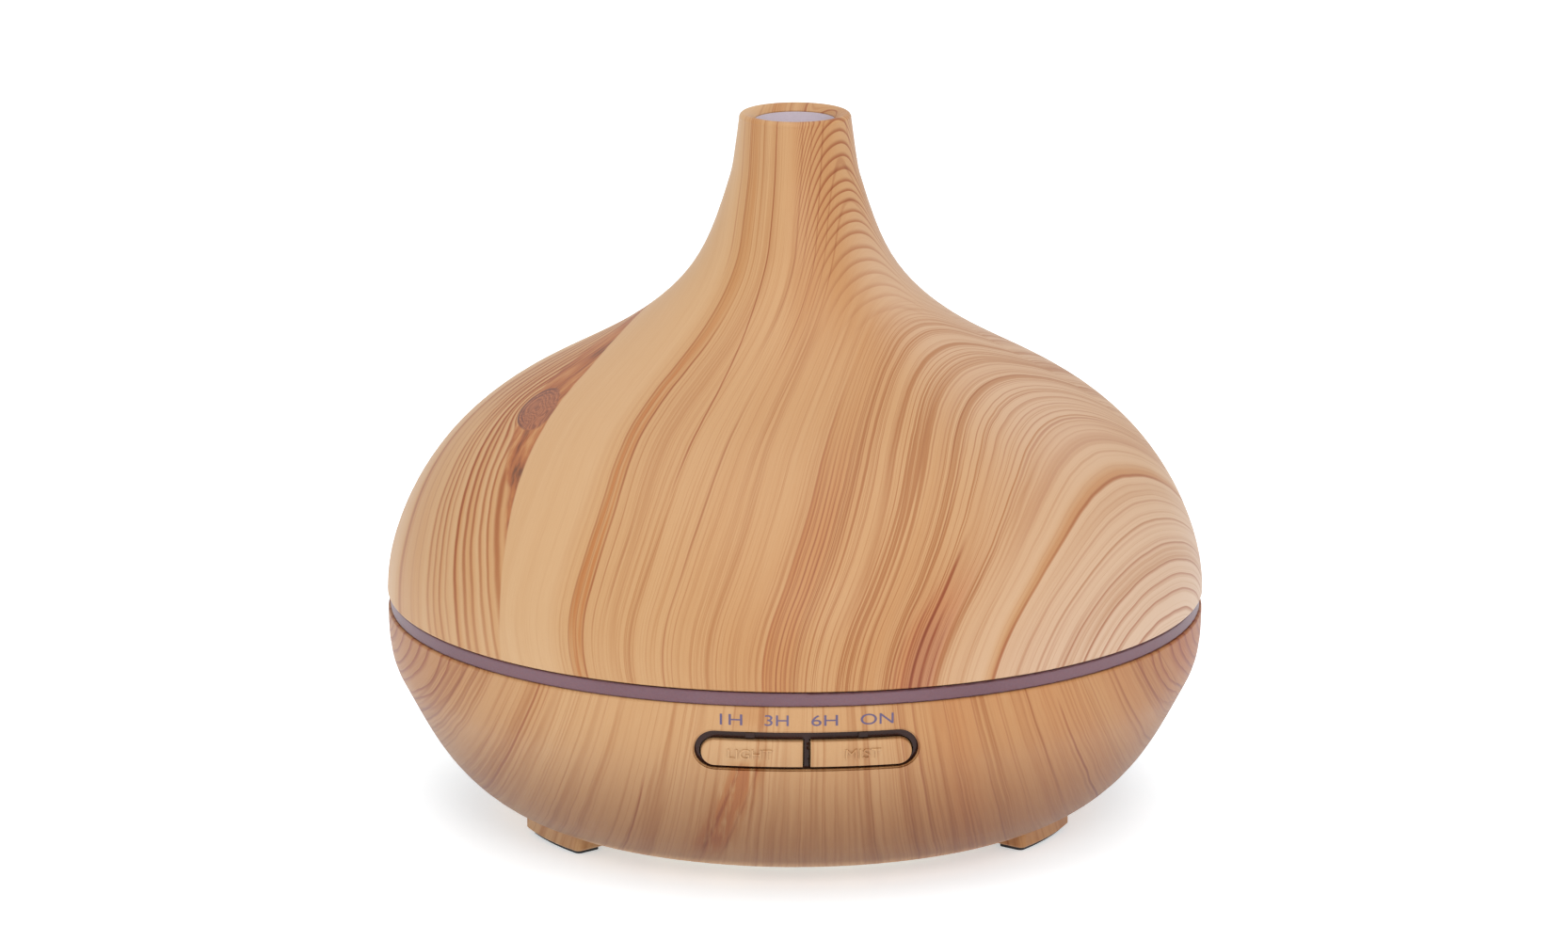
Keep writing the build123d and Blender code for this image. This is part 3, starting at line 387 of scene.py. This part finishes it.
def right_of_seam(paint, x, y, z, ripple):
    """Sweeping layers with three amber streaks, arcs that close on the right and arches up the neck."""
    warp = paint.noise(x * 0.03, y * 0.03, z * 0.02, 1, 0.5) - 0.5
    angle = azimuth(x, y)
    layer = cover_layer(x, y, z, angle) + warp * 0.5 + ripple * 0.4
    pore = pores(paint, layer, z, 2.0)
    broad = paint.noise(layer * 0.28, z * 0.006, 7.0, 2, 0.5) - 0.5
    neck = z.step(96, 116)
    arch_place = angle - 47.0
    swing = arch_place * (arch_place.step(-4, 4) * 0.2 + 0.8)
    swing = swing * swing
    arch = z + swing * 0.0062 + swing * swing * 0.0000045 + ripple * 0.8
    arch_zone = z.step(103, 112) * band(arch_place, -52, 62, 12, 14)

    streak_a = band(layer, *STREAK_A, 0.6, 1.4)
    streak_b = band(layer, *STREAK_B, 0.4, 8.0)
    streak_c = band(layer, *STREAK_C, 2.2, 0.4)
    fibre = paint.noise(layer * 1.5, z * 0.035, 43.0, 2, 0.6).step(0.36, 0.62)
    tone = broad * 0.24 + (pore - 0.5) * 0.14 + band(layer, -8, 46, 6, 10) * 0.06 + 0.32
    tone = tone - layer.step(-26, -31) * 0.18
    tone = tone + streak_a * (z.step(112, 96) * 0.22 + 0.14) * (fibre * 0.75 + 0.40)
    tone = tone + streak_b * (z.step(104, 76) * 0.17 + 0.07)
    tone = tone + band(layer, 0, 12, 8, 1) * z.step(84, 56) * 0.10
    tone = tone + band(layer, 20.0, 44.0, 12.0, 3.0) * z.step(86, 56) * 0.14
    tone = tone + band(layer, 36.0, 43.5, 4.0, 2.5) * z.step(76, 54) * 0.34
    tone = tone + streak_c * (z.step(58, 72) * 0.12 + 0.16)
    tone = tone + layer.bump(48.6, 1.8, 0.2) * z.step(64, 78) * 0.14
    tone = tone + band(layer, 53.4, 68.0, 1.0, 14.0) * z.step(66, 50) * 0.16
    tone = tone + neck * streak_a * 0.10 + neck * band(angle, -10, 26, 10, 26) * 0.15
    base = tone_colour(paint, tone)
    rosy = layer.step(30, 74) * 0.75 + angle.step(20, 60) * z.step(74, 94) * z.step(136, 112) * 0.45
    base = paint.mix(rosy.at_most(0.8) * (1.0 - streak_c * 0.75), base, ROSE)

    dense = layer.step(14, 22) * layer.step(50, 42)
    quiet = (1.0 - layer.step(-26.5, -29) * 0.8) * (1.0 - arch_zone * 0.85)
    fine = strands(paint, layer, z, 1.0, 3.1, 20.0) * 0.8 + strands(paint, layer, z, 2.0, 8.4, 22.0)
    fine = fine + strands(paint, layer, z, 0.62, 5.7, 26.0) * 0.7
    hairs = fine * quiet * (dense * 0.75 + 0.50)
    base = paint.mix(hairs.at_most(0.8), base, THREAD, "MULTIPLY")
    bundle = rings(paint, layer, z, 0.85, 19.0, 0.5)
    bundle = bundle * band(layer, 13.0, 18.0, 0.4, 3.0) * z.step(98, 78) * 0.55
    arcs = rings(paint, layer, z, 2.2, 15.0, 0.28)
    arcs = arcs * band(layer, 56, 90, 8, 1) * (layer.step(58, 72) * 0.65 + 0.24)
    shoulder = rings(paint, layer, z, 1.5, 25.0, 0.28)
    shoulder = shoulder * band(layer, 26, 45, 8, 5) * z.step(72, 90) * 0.40
    loops = rings(paint, arch, z * 0.0, 2.3, 33.0, 0.50)
    loops = loops * arch_zone * (z.step(108, 134) * 0.70 + 0.28)
    base = paint.mix((arcs + bundle + shoulder + loops).at_most(0.9), base, RED_THREAD, "MULTIPLY")
    strength = paint.noise(layer * 0.3, z * 0.05, 41.0, 1, 0.5) * 1.1 + 0.35
    drift = layer + z.step(90, 116) * 4.2
    lines = thread_sum(layer, z, COVER_THREADS) * strength
    lines = lines + drift.bump(-13.4, 0.28, 0.2) * z.step(78, 90) * 0.85
    return paint.mix(lines.at_most(0.95), base, RED_THREAD, "MULTIPLY"), pore


def knot_slant(angle, z):
    """Degrees across the ribs left of the seam, which lean more and more towards the top."""
    rise = z - RING_Z
    top = KNOT_Z - RING_Z
    knot_lean = (RIB_LEAN + RIB_LEAN_GAIN * top) * top
    return angle - KNOT_TURN - knot_lean + (rise * RIB_LEAN_GAIN + RIB_LEAN) * rise


def left_of_seam(paint, x, y, z, ripple):
    """Ribs that part round a knot, with a dark smear above and below it."""
    slant = knot_slant(azimuth(x, y, 115.0), z)
    across = slant + ripple
    along = (z - KNOT_Z) * 1.5
    reach = across * across + along * along * 2.0 + 0.01
    place = across * (1.0 - reach.at_least(KNOT_R ** 2).math("POWER", -1.0) * KNOT_R ** 2)
    pore = pores(paint, place * 1.3, z, 52.0)
    broad = paint.noise(place * 0.22, z * 0.006, 61.0, 1, 0.5) - 0.5
    fine = strands(paint, place, z, 2.6, 55.0, 10.0)
    tone = broad * 0.30 + (pore - 0.5) * 0.14 + 0.24 + band(place, -36, -30, 14, 13) * 0.24
    side = tone_colour(paint, tone)
    ribs = halo = None
    for centre, half_width, strength in SIDE_RIBS:
        core = place.bump(centre, half_width, 0.15) * strength
        wide = place.bump(centre + 0.3, half_width * 2.0, 0.1) * strength
        ribs = core if ribs is None else ribs + core
        halo = wide if halo is None else halo + wide
    crown = rings(paint, place, z, 3.4, 57.0, 0.6) * band(place, -30, -2, 6, 1) * z.step(82, 92)
    ribs = ribs * z.step(100, 92) + crown * 1.1
    weight = z.step(46, 82) * 0.45 + 0.55
    side = paint.mix((halo * weight * 0.8 + fine * 0.4).at_most(0.9), side, RIB_EDGE, "MULTIPLY")
    side = paint.mix((ribs * weight * 1.3).at_most(1.0), side, RIB_CORE, "MULTIPLY")

    below, above = (87.0 - z).at_least(0.0), (z - 88.0).at_least(0.0)
    edge = (below * 0.75).at_most(6.9) - above * 1.1 - 3.3
    smear = (slant - edge + ripple * 2.5).step(-0.7, 0.9) * z.step(65, 70)
    cloud = paint.noise(across * 0.50, along * 0.10, 71.0, 3, 0.6)
    burnt = [(0.34, BARK), (0.45, RUST), (0.56, wood(190, 116, 64)), (0.70, wood(214, 154, 98))]
    flame = paint.ramp(cloud, burnt)
    side = paint.mix(smear * 0.92, side, flame)
    distance = reach.sqrt() + ripple * 1.2
    swirl = (distance * 0.55 + ripple * 9.0 + cloud * 5.0).math("FRACT").step(0.1, 0.9)
    knot = paint.mix(swirl * 0.8, wood(186, 116, 78), wood(134, 78, 56))
    side = paint.mix(distance.step(KNOT_R + 0.2, KNOT_R - 0.6), side, knot)
    outline = distance.bump(KNOT_R - 0.3, 0.45, 0.3) + distance.bump(KNOT_R - 1.5, 0.35, 0.3) * 0.8
    return paint.mix((outline * across.step(2.5, -3.0) * 0.8).at_most(0.9), side, wood(104, 58, 54))


def cover_grain():
    """Grain of the cover, printed on a film whose two edges meet in a seam."""
    paint = Paint("cover_wood_grain")
    x, y, z = paint.axes()
    ripple = paint.noise(x * 0.11, y * 0.11, z * 0.05, 1, 0.5) - 0.5
    right, pore = right_of_seam(paint, x, y, z, ripple)
    left = left_of_seam(paint, x, y, z, ripple)
    across, _ = rotate(x, y, -48)
    rise = z - RING_Z
    seam = across - 3.4 + rise * 0.13 + rise * rise * 0.0064 + ripple
    paint.colour(paint.mix(seam.step(-0.3, 0.3), left, right))
    finish_grain(paint, pore)
    return paint.material


def finish_grain(paint, pore):
    """Satin lacquer over a printed film: faint fibre relief and slightly uneven gloss."""
    paint.roughness(pore * 0.14 + 0.42)
    paint.relief(pore, 0.02)
    paint.fix(Specular_IOR_Level=0.35, Coat_Weight=0.08, Coat_Roughness=0.30)


# thin lines of the base: millimetres across the grain at its top edge, then as for the cover
BASE_THREADS = (
    (-68.3, 0.45, 0.70, ALWAYS, ALWAYS),
    (-66.6, 0.30, 0.45, ALWAYS, ALWAYS),
    (-64.4, 0.30, 0.35, ALWAYS, ALWAYS),
    (-61.5, 0.25, 0.30, ALWAYS, ALWAYS),
    (-52.5, 0.35, 0.75, ALWAYS, ALWAYS),
    (-50.6, 0.25, 0.40, ALWAYS, ALWAYS),
    (-45.0, 0.22, 0.30, ALWAYS, ALWAYS),
    (-38.6, 0.22, 0.25, ALWAYS, ALWAYS),
    (-28.2, 0.28, 0.80, ALWAYS, (30, 20)),
    (-21.0, 0.20, 0.25, ALWAYS, ALWAYS),
    (-8.4, 0.40, 0.45, (36, 41), ALWAYS),
    (-13.8, 0.30, 0.35, (36, 41), ALWAYS),
    (11.5, 0.20, 0.25, ALWAYS, ALWAYS),
    (18.0, 0.26, 0.50, ALWAYS, ALWAYS),
    (20.9, 0.30, 0.55, ALWAYS, ALWAYS),
    (27.0, 0.24, 0.35, ALWAYS, ALWAYS),
    (32.5, 0.26, 0.45, ALWAYS, ALWAYS),
    (37.5, 0.22, 0.30, ALWAYS, ALWAYS),
    (43.5, 0.24, 0.35, ALWAYS, ALWAYS),
    (49.0, 0.32, 0.80, ALWAYS, (42, 36)),
    (56.0, 0.24, 0.35, ALWAYS, ALWAYS),
    (61.5, 0.26, 0.40, ALWAYS, ALWAYS),
    (66.8, 0.42, 0.65, ALWAYS, ALWAYS),
)


# painted highlight: the second argument makes a paler copy of this wood, used for the buttons and their
# raised words
def base_grain(name="base_grain_with_painted_shade", painted_lift=0.0):
    """Grain of the base, feet and buttons: fine lines that spread downwards, arcs at the sides and painted
    shade.
    """
    paint = Paint(name)
    x, y, z = paint.axes()
    warp = paint.noise(x * 0.02 + 9.0, y * 0.02, z * 0.02, 1, 0.5) - 0.5
    ripple = paint.noise(x * 0.12, y * 0.12, z * 0.06, 1, 0.5) - 0.5
    layer = x / ((44.0 - z) * 0.007 + 1.0) + warp * 1.4 + ripple * 0.5
    pore = pores(paint, layer, z, 12.0)
    broad = paint.noise(layer * 0.13, z * 0.01, 17.0, 2, 0.5) - 0.5
    fine = strands(paint, layer, z, 1.2, 81.0) * 0.8 + strands(paint, layer, z, 2.4, 84.0)
    # nested arcs where the sides turn away
    bearing = (azimuth(x, y).math("ABSOLUTE") - SIDE_TURN) * SIDE_MM
    drop = (46.0 - z) * 2.6
    reach = (bearing * bearing + drop * drop).sqrt() + ripple * 2.0
    side = reach.step(48, 36)
    # painted shade: the last term darkens the base's tone towards its right side
    tone = broad * 0.40 + (pore - 0.5) * 0.14 + 0.30 - painted_lift + layer.step(-4, 30) * 0.26
    tatter = paint.noise(layer * 0.9, z * 0.09, 23.0, 3, 0.6)
    flame_x = layer + 12.6 - (z - 24.0) * 0.2
    flame = flame_x.bump(0.6, 5.2, 0.1) * band(z, 4, 30.5, 9, 3) * tatter.step(0.28, 0.54)
    tone = tone + flame * 0.55 + layer.bump(-10.5, 5.5, 0.2) * z.step(36, 42) * 0.22
    tone = tone + band(layer, -56, -50, 1.0, 4.0) * 0.10 + side * 0.16
    base = tone_colour(paint, tone)
    # painted shade: the base darkens from 42 mm down, fading out again over the feet's lowest few
    # millimetres
    low = z.step(42, 10) * z.step(3.5, 6.5)
    # painted shade: the base's left and right ends, where it turns away, are darkened as well
    turned_away_shade = layer.math("ABSOLUTE").step(50, 76) * 0.8
    base = paint.mix(low, base, PAINTED_LOW_SHADE, "MULTIPLY")
    base = paint.mix(turned_away_shade, base, PAINTED_END_SHADE, "MULTIPLY")
    base = paint.mix((fine * 0.60 * (1.0 - side * 0.8)).at_most(0.7), base, THREAD, "MULTIPLY")
    strength = paint.noise(layer * 0.3, z * 0.05, 91.0, 1, 0.5) * 1.2 + 0.3
    lines = thread_sum(layer, z, BASE_THREADS) * strength * 1.2 * (1.0 - side * 0.6)
    lines = lines + (flame_x.bump(-0.6, 0.5, 0.2) + flame_x.bump(2.8, 0.4, 0.2)) * flame * 0.6
    base = paint.mix(lines.at_most(0.85), base, RED_THREAD, "MULTIPLY")
    arcs = rings(paint, reach, z * 0.0, 4.6, 95.0, 0.50) * reach.step(62, 50)
    base = paint.mix(arcs, base, SIDE_ARC, "MULTIPLY")
    paint.colour(base)
    finish_grain(paint, pore)
    return paint.material


# ---- plain materials ---------------------------------------------------------------------------
def mottled(name, low, high, roughness, scale=0.25, depth_mm=0.02, **values):
    """A moulded or cast material: two close tones, a fine grained relief and uneven gloss."""
    paint = Paint(name)
    x, y, z = paint.axes()
    broad = paint.noise(x * scale * 0.2, y * scale * 0.2, z * scale * 0.2, 2, 0.5)
    fine = paint.noise(x * scale * 12, y * scale * 12, z * scale * 12, 2, 0.6)
    paint.colour(paint.mix((broad * 0.7 + fine * 0.3).step(0.25, 0.75), low, high))
    paint.roughness(fine * 0.1 + (roughness - 0.05))
    paint.relief(fine, depth_mm)
    paint.fix(**values)
    return paint.material


def brushed(name, low, high, roughness):
    """Turned or plated metal with fine circular marks about Z."""
    paint = Paint(name)
    x, y, z = paint.axes()
    marks = paint.noise(x * 0.6, y * 0.6, z * 9.0, 3, 0.7)
    paint.colour(paint.mix(marks, low, high))
    paint.roughness(marks * 0.16 + (roughness - 0.08))
    paint.relief(marks, 0.01)
    paint.fix(Metallic=1.0)
    return paint.material


def circuit_board(name, mask, trace, pad):
    """Solder mask with a faint pattern of tracks and plated spots."""
    paint = Paint(name)
    x, y, z = paint.axes()
    bend = paint.noise(x * 0.1, y * 0.1, z * 0.1, 0, 0.5) * 4
    across = (x + y * 0.5 + z * 0.3) * 0.45 + bend
    tracks = across.math("FRACT").bump(0.5, 0.2, 0.7)
    banks = paint.noise(x * 0.07 + 3, y * 0.07, z * 0.07, 0, 0.5).step(0.48, 0.5)
    tracks = tracks * banks
    cell_x = (x * 0.4).math("FRACT") - 0.5
    cell_y = ((y + z) * 0.4).math("FRACT") - 0.5
    spot = (cell_x * cell_x + cell_y * cell_y).sqrt().step(0.2, 0.16)
    spot = spot * paint.noise(x * 0.13, y * 0.13, z * 0.13 + 5, 0, 0.5).step(0.56, 0.58)
    paint.colour(paint.mix(spot, paint.mix(tracks * 0.7, mask, trace), pad))
    paint.roughness(tracks * -0.08 + 0.36)
    paint.relief((tracks + spot).at_most(1.0), 0.03)
    return paint.material


def striped(name, low, high, pitch_mm, axis, roughness, metallic=0.0):
    """Windings, ribs of a ribbon or marks along a sleeve: even fine stripes along one axis."""
    paint = Paint(name)
    position = paint.axes()[axis]
    wave = (position * (2 * math.pi / pitch_mm)).math("SINE") * 0.5 + 0.5
    x, y, z = paint.axes()
    fine = paint.noise(x * 2, y * 2, z * 2, 2, 0.6)
    paint.colour(paint.mix(wave * 0.8 + fine * 0.2, low, high))
    paint.roughness(fine * 0.1 + roughness)
    paint.relief(wave, 0.06)
    paint.fix(Metallic=metallic)
    return paint.material


def paint_nodes():
    """Every CAD node gets its material."""
    base_wood = base_grain()
    white = mottled("white_moulding", srgb(212, 200, 210), srgb(224, 214, 222), 0.38)
    tank = mottled("tank_moulding", srgb(222, 226, 230), srgb(236, 239, 242), 0.3, Transmission_Weight=0.12)
    frosted = mottled("frosted_ring", srgb(106, 76, 84), srgb(118, 88, 96), 0.42, scale=0.15,
                      Subsurface_Weight=0.15, Subsurface_Scale=0.004, Specular_IOR_Level=0.25)
    guide = mottled("clear_guide", srgb(210, 214, 220), srgb(228, 232, 238), 0.2, Transmission_Weight=0.4)
    smoke = mottled("smoked_plastic", srgb(34, 16, 12), srgb(58, 30, 24), 0.22, Specular_IOR_Level=0.25)
    beige = mottled("bottom_moulding", srgb(202, 176, 142), srgb(214, 190, 158), 0.5, depth_mm=0.04)
    rubber = mottled("black_rubber", srgb(34, 34, 36), srgb(48, 48, 50), 0.75, depth_mm=0.05)
    silicone = mottled("silicone", srgb(205, 205, 208), srgb(222, 222, 224), 0.5, Subsurface_Weight=0.1,
                       Subsurface_Scale=0.002)
    black = mottled("black_moulding", srgb(24, 24, 26), srgb(38, 38, 40), 0.45)
    chip = mottled("chip_resin", srgb(26, 26, 28), srgb(36, 36, 38), 0.62, scale=0.6)
    ferrite = mottled("ferrite", srgb(52, 50, 52), srgb(70, 68, 70), 0.7, scale=0.5, depth_mm=0.05)
    nylon = mottled("socket_nylon", srgb(226, 220, 204), srgb(238, 233, 220), 0.42)
    lamp = mottled("lamp_resin", srgb(238, 226, 160), srgb(250, 242, 200), 0.25, Transmission_Weight=0.2)
    sleeve = mottled("lead_sleeve", srgb(198, 200, 204), srgb(216, 218, 222), 0.4)
    ceramic = mottled("silvered_ceramic", srgb(196, 190, 174), srgb(214, 208, 192), 0.3, Metallic=0.5)
    steel = brushed("zinc_steel", srgb(150, 152, 156), srgb(196, 198, 202), 0.32)
    nickel = brushed("nickel", srgb(176, 170, 156), srgb(214, 208, 196), 0.2)
    aluminium = brushed("aluminium", srgb(176, 178, 182), srgb(206, 208, 212), 0.36)
    copper = striped("enamelled_wire", srgb(120, 56, 28), srgb(206, 118, 68), 0.4, 2, 0.28, 0.8)
    can = striped("capacitor_sleeve", srgb(20, 26, 60), srgb(34, 42, 86), 3.0, 2, 0.3)
    ribbon = striped("ribbon_lead", srgb(176, 178, 184), srgb(220, 222, 226), 1.1, 0, 0.4)
    green = circuit_board("green_board", srgb(16, 92, 52), srgb(34, 122, 70), srgb(198, 190, 160))
    white_board = circuit_board("white_board", srgb(222, 224, 220), srgb(206, 210, 206), srgb(190, 186, 170))
    looks = {
        "top_cover": cover_grain(),
        "mist_hood": white,
        "cover_screws": steel,
        "light_ring": frosted,
        "tank_gasket": silicone,
        "water_tank": tank,
        "air_duct": tank,
        "air_outlet_cap": white,
        "transducer_disc": ceramic,
        "disc_seal": silicone,
        "disc_clamp": white,
        "clamp_screws": steel,
        "base_shell": base_wood,
        "foot_pads": rubber,
        "bottom_cover": beige,
        "bottom_screws": steel,
        "button_bezel": smoke,
        # painted highlight: the buttons get the base's wood painted 0.1 paler
        "light_button": base_grain("button_grain_with_painted_highlight", 0.1),
        "mist_button": bpy.data.materials["button_grain_with_painted_highlight"],
        "control_board": green,
        "panel_screws": steel,
        "light_switch": black,
        "mist_switch": black,
        "light_switch_plunger": black,
        "mist_switch_plunger": black,
        "indicator_lamps": lamp,
        "indicator_light_guide": guide,
        "led_board": white_board,
        "ring_lamps": lamp,
        "led_board_screws": steel,
        "fan_frame": black,
        "fan_rotor": black,
        "fan_shaft": steel,
        "fan_gasket": silicone,
        "fan_screws": steel,
        "main_board": green,
        "board_screws": steel,
        "board_capacitors": can,
        "board_inductors": ferrite,
        "inductor_windings": copper,
        "heat_sink": aluminium,
        "power_transistor": chip,
        "control_chip": chip,
        "board_connectors": nylon,
        "jack_body": black,
        "jack_pin": nickel,
        "fan_lead": sleeve,
        "power_lead": sleeve,
        "disc_lead": sleeve,
        "ring_light_lead": sleeve,
        "button_ribbon": ribbon,
    }
    for name, node in NODES.items():
        node.data.materials.clear()
        node.data.materials.append(looks[name])


# ---- printed and raised marks ------------------------------------------------------------------
# each timer mark: its text, the place of its middle across the front and its width, in metres
MARKS = (("1H", -0.0148, 0.0044), ("3H", -0.0059, 0.0047), ("6H", 0.0035, 0.0052), ("ON", 0.0138, 0.0065))
MARK_Z = 0.0411
MARK_HEIGHT = 0.0022
MARK_RISE = 0.00004
# each button's word, its body and its width in metres
WORDS = (("LIGHT", "light_button", 0.0086), ("MIST", "mist_button", 0.0070))
WORD_HEIGHT = 0.0021
WORD_RISE = 0.00028


def surface_of(node):
    """A tree to drop points onto one CAD node."""
    mesh = NODES[node].data
    return BVHTree.FromPolygons([v.co for v in mesh.vertices], [p.vertices for p in mesh.polygons])


def lettering(name, text, centre_x, centre_z, height, width, tree, rise, material, body):
    """A word of thin solid letters laid onto the front of a CAD node."""
    curve = bpy.data.curves.new(name, "FONT")
    curve.body = text
    curve.align_x, curve.align_y = "CENTER", "CENTER"
    curve.size = 1.0
    curve.resolution_u = 6
    flat = bpy.data.objects.new(name + "_outline", curve)
    bpy.context.scene.collection.objects.link(flat)
    bpy.context.view_layer.update()
    mesh = bpy.data.meshes.new_from_object(flat.evaluated_get(bpy.context.evaluated_depsgraph_get()))
    bpy.data.objects.remove(flat)
    xs = [v.co.x for v in mesh.vertices]
    ys = [v.co.y for v in mesh.vertices]
    middle = ((min(xs) + max(xs)) / 2, (min(ys) + max(ys)) / 2)
    scale_x, scale_z = width / (max(xs) - min(xs)), height / (max(ys) - min(ys))
    for vertex in mesh.vertices:
        x = centre_x + (vertex.co.x - middle[0]) * scale_x
        z = centre_z + (vertex.co.y - middle[1]) * scale_z
        hit, normal, _, _ = tree.ray_cast(Vector((x, -0.2, z)), Vector((0, 1, 0)))
        vertex.co = hit + normal * rise
    piece = bpy.data.objects.new(name, mesh)
    bpy.context.scene.collection.objects.link(piece)
    solid = piece.modifiers.new("thickness", "SOLIDIFY")
    solid.thickness = rise * 1.6
    solid.offset = -1
    mesh.materials.append(material)
    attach(piece, body)


def add_marks():
    """Timer marks above the buttons and a raised word on each button."""
    ink = mottled("blue_grey_ink", srgb(92, 80, 108), srgb(106, 94, 120), 0.5, Specular_IOR_Level=0.2)
    shell = surface_of("base_shell")
    for text, x, width in MARKS:
        lettering(f"mark_{text}", text, x, MARK_Z, MARK_HEIGHT, width, shell, MARK_RISE, ink, "base")
    button_wood = bpy.data.materials["button_grain_with_painted_highlight"]
    for word, body, width in WORDS:
        low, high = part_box(body)
        x, z = (low.x + high.x) / 2, (low.z + high.z) / 2
        lettering(f"word_{word}", word, x, z, WORD_HEIGHT, width, surface_of(body), WORD_RISE, button_wood,
                  body)


# ---- stage -------------------------------------------------------------------------------------
FLOOR_SIZE = 12
FLOOR_GLOW = (0.82, 0.94, 1.0, 1)
LIGHT_AIM = (0, 0, 0.06)


def add_floor():
    bpy.ops.mesh.primitive_plane_add(size=FLOOR_SIZE)
    floor = bpy.context.object
    floor.name = "floor"
    pale = mottled("pale_floor", (0.90, 0.90, 0.90), (0.92, 0.92, 0.92), 0.7, scale=0.01, depth_mm=0.0,
                   Specular_IOR_Level=0.2, Emission_Color=FLOOR_GLOW, Emission_Strength=0.48)
    floor.data.materials.append(pale)


def add_light(name, location, size, power):
    """A square white lamp that faces the object; its side is in metres and its power in watts."""
    data = bpy.data.lights.new(name, "AREA")
    data.shape = "SQUARE"
    data.size = size
    data.energy = power
    light = bpy.data.objects.new(name, data)
    light.location = location
    light.rotation_mode = "QUATERNION"
    light.rotation_quaternion = (Vector(LIGHT_AIM) - Vector(location)).to_track_quat("-Z", "Y")
    bpy.context.scene.collection.objects.link(light)


def add_lights():
    world = bpy.data.worlds.new("studio")
    world.use_nodes = True
    background = world.node_tree.nodes["Background"]
    background.inputs["Color"].default_value = (1, 1, 1, 1)
    background.inputs["Strength"].default_value = 0.76
    bpy.context.scene.world = world
    add_light("overhead", (0.0, -0.3, 1.5), 1.6, 11)
    add_light("key", (0.15, -1.4, 0.9), 0.7, 6)
    view = bpy.context.scene.view_settings
    view.view_transform = "Standard"
    view.look = "None"


add_camera()
add_floor()
add_lights()
paint_nodes()
add_marks()
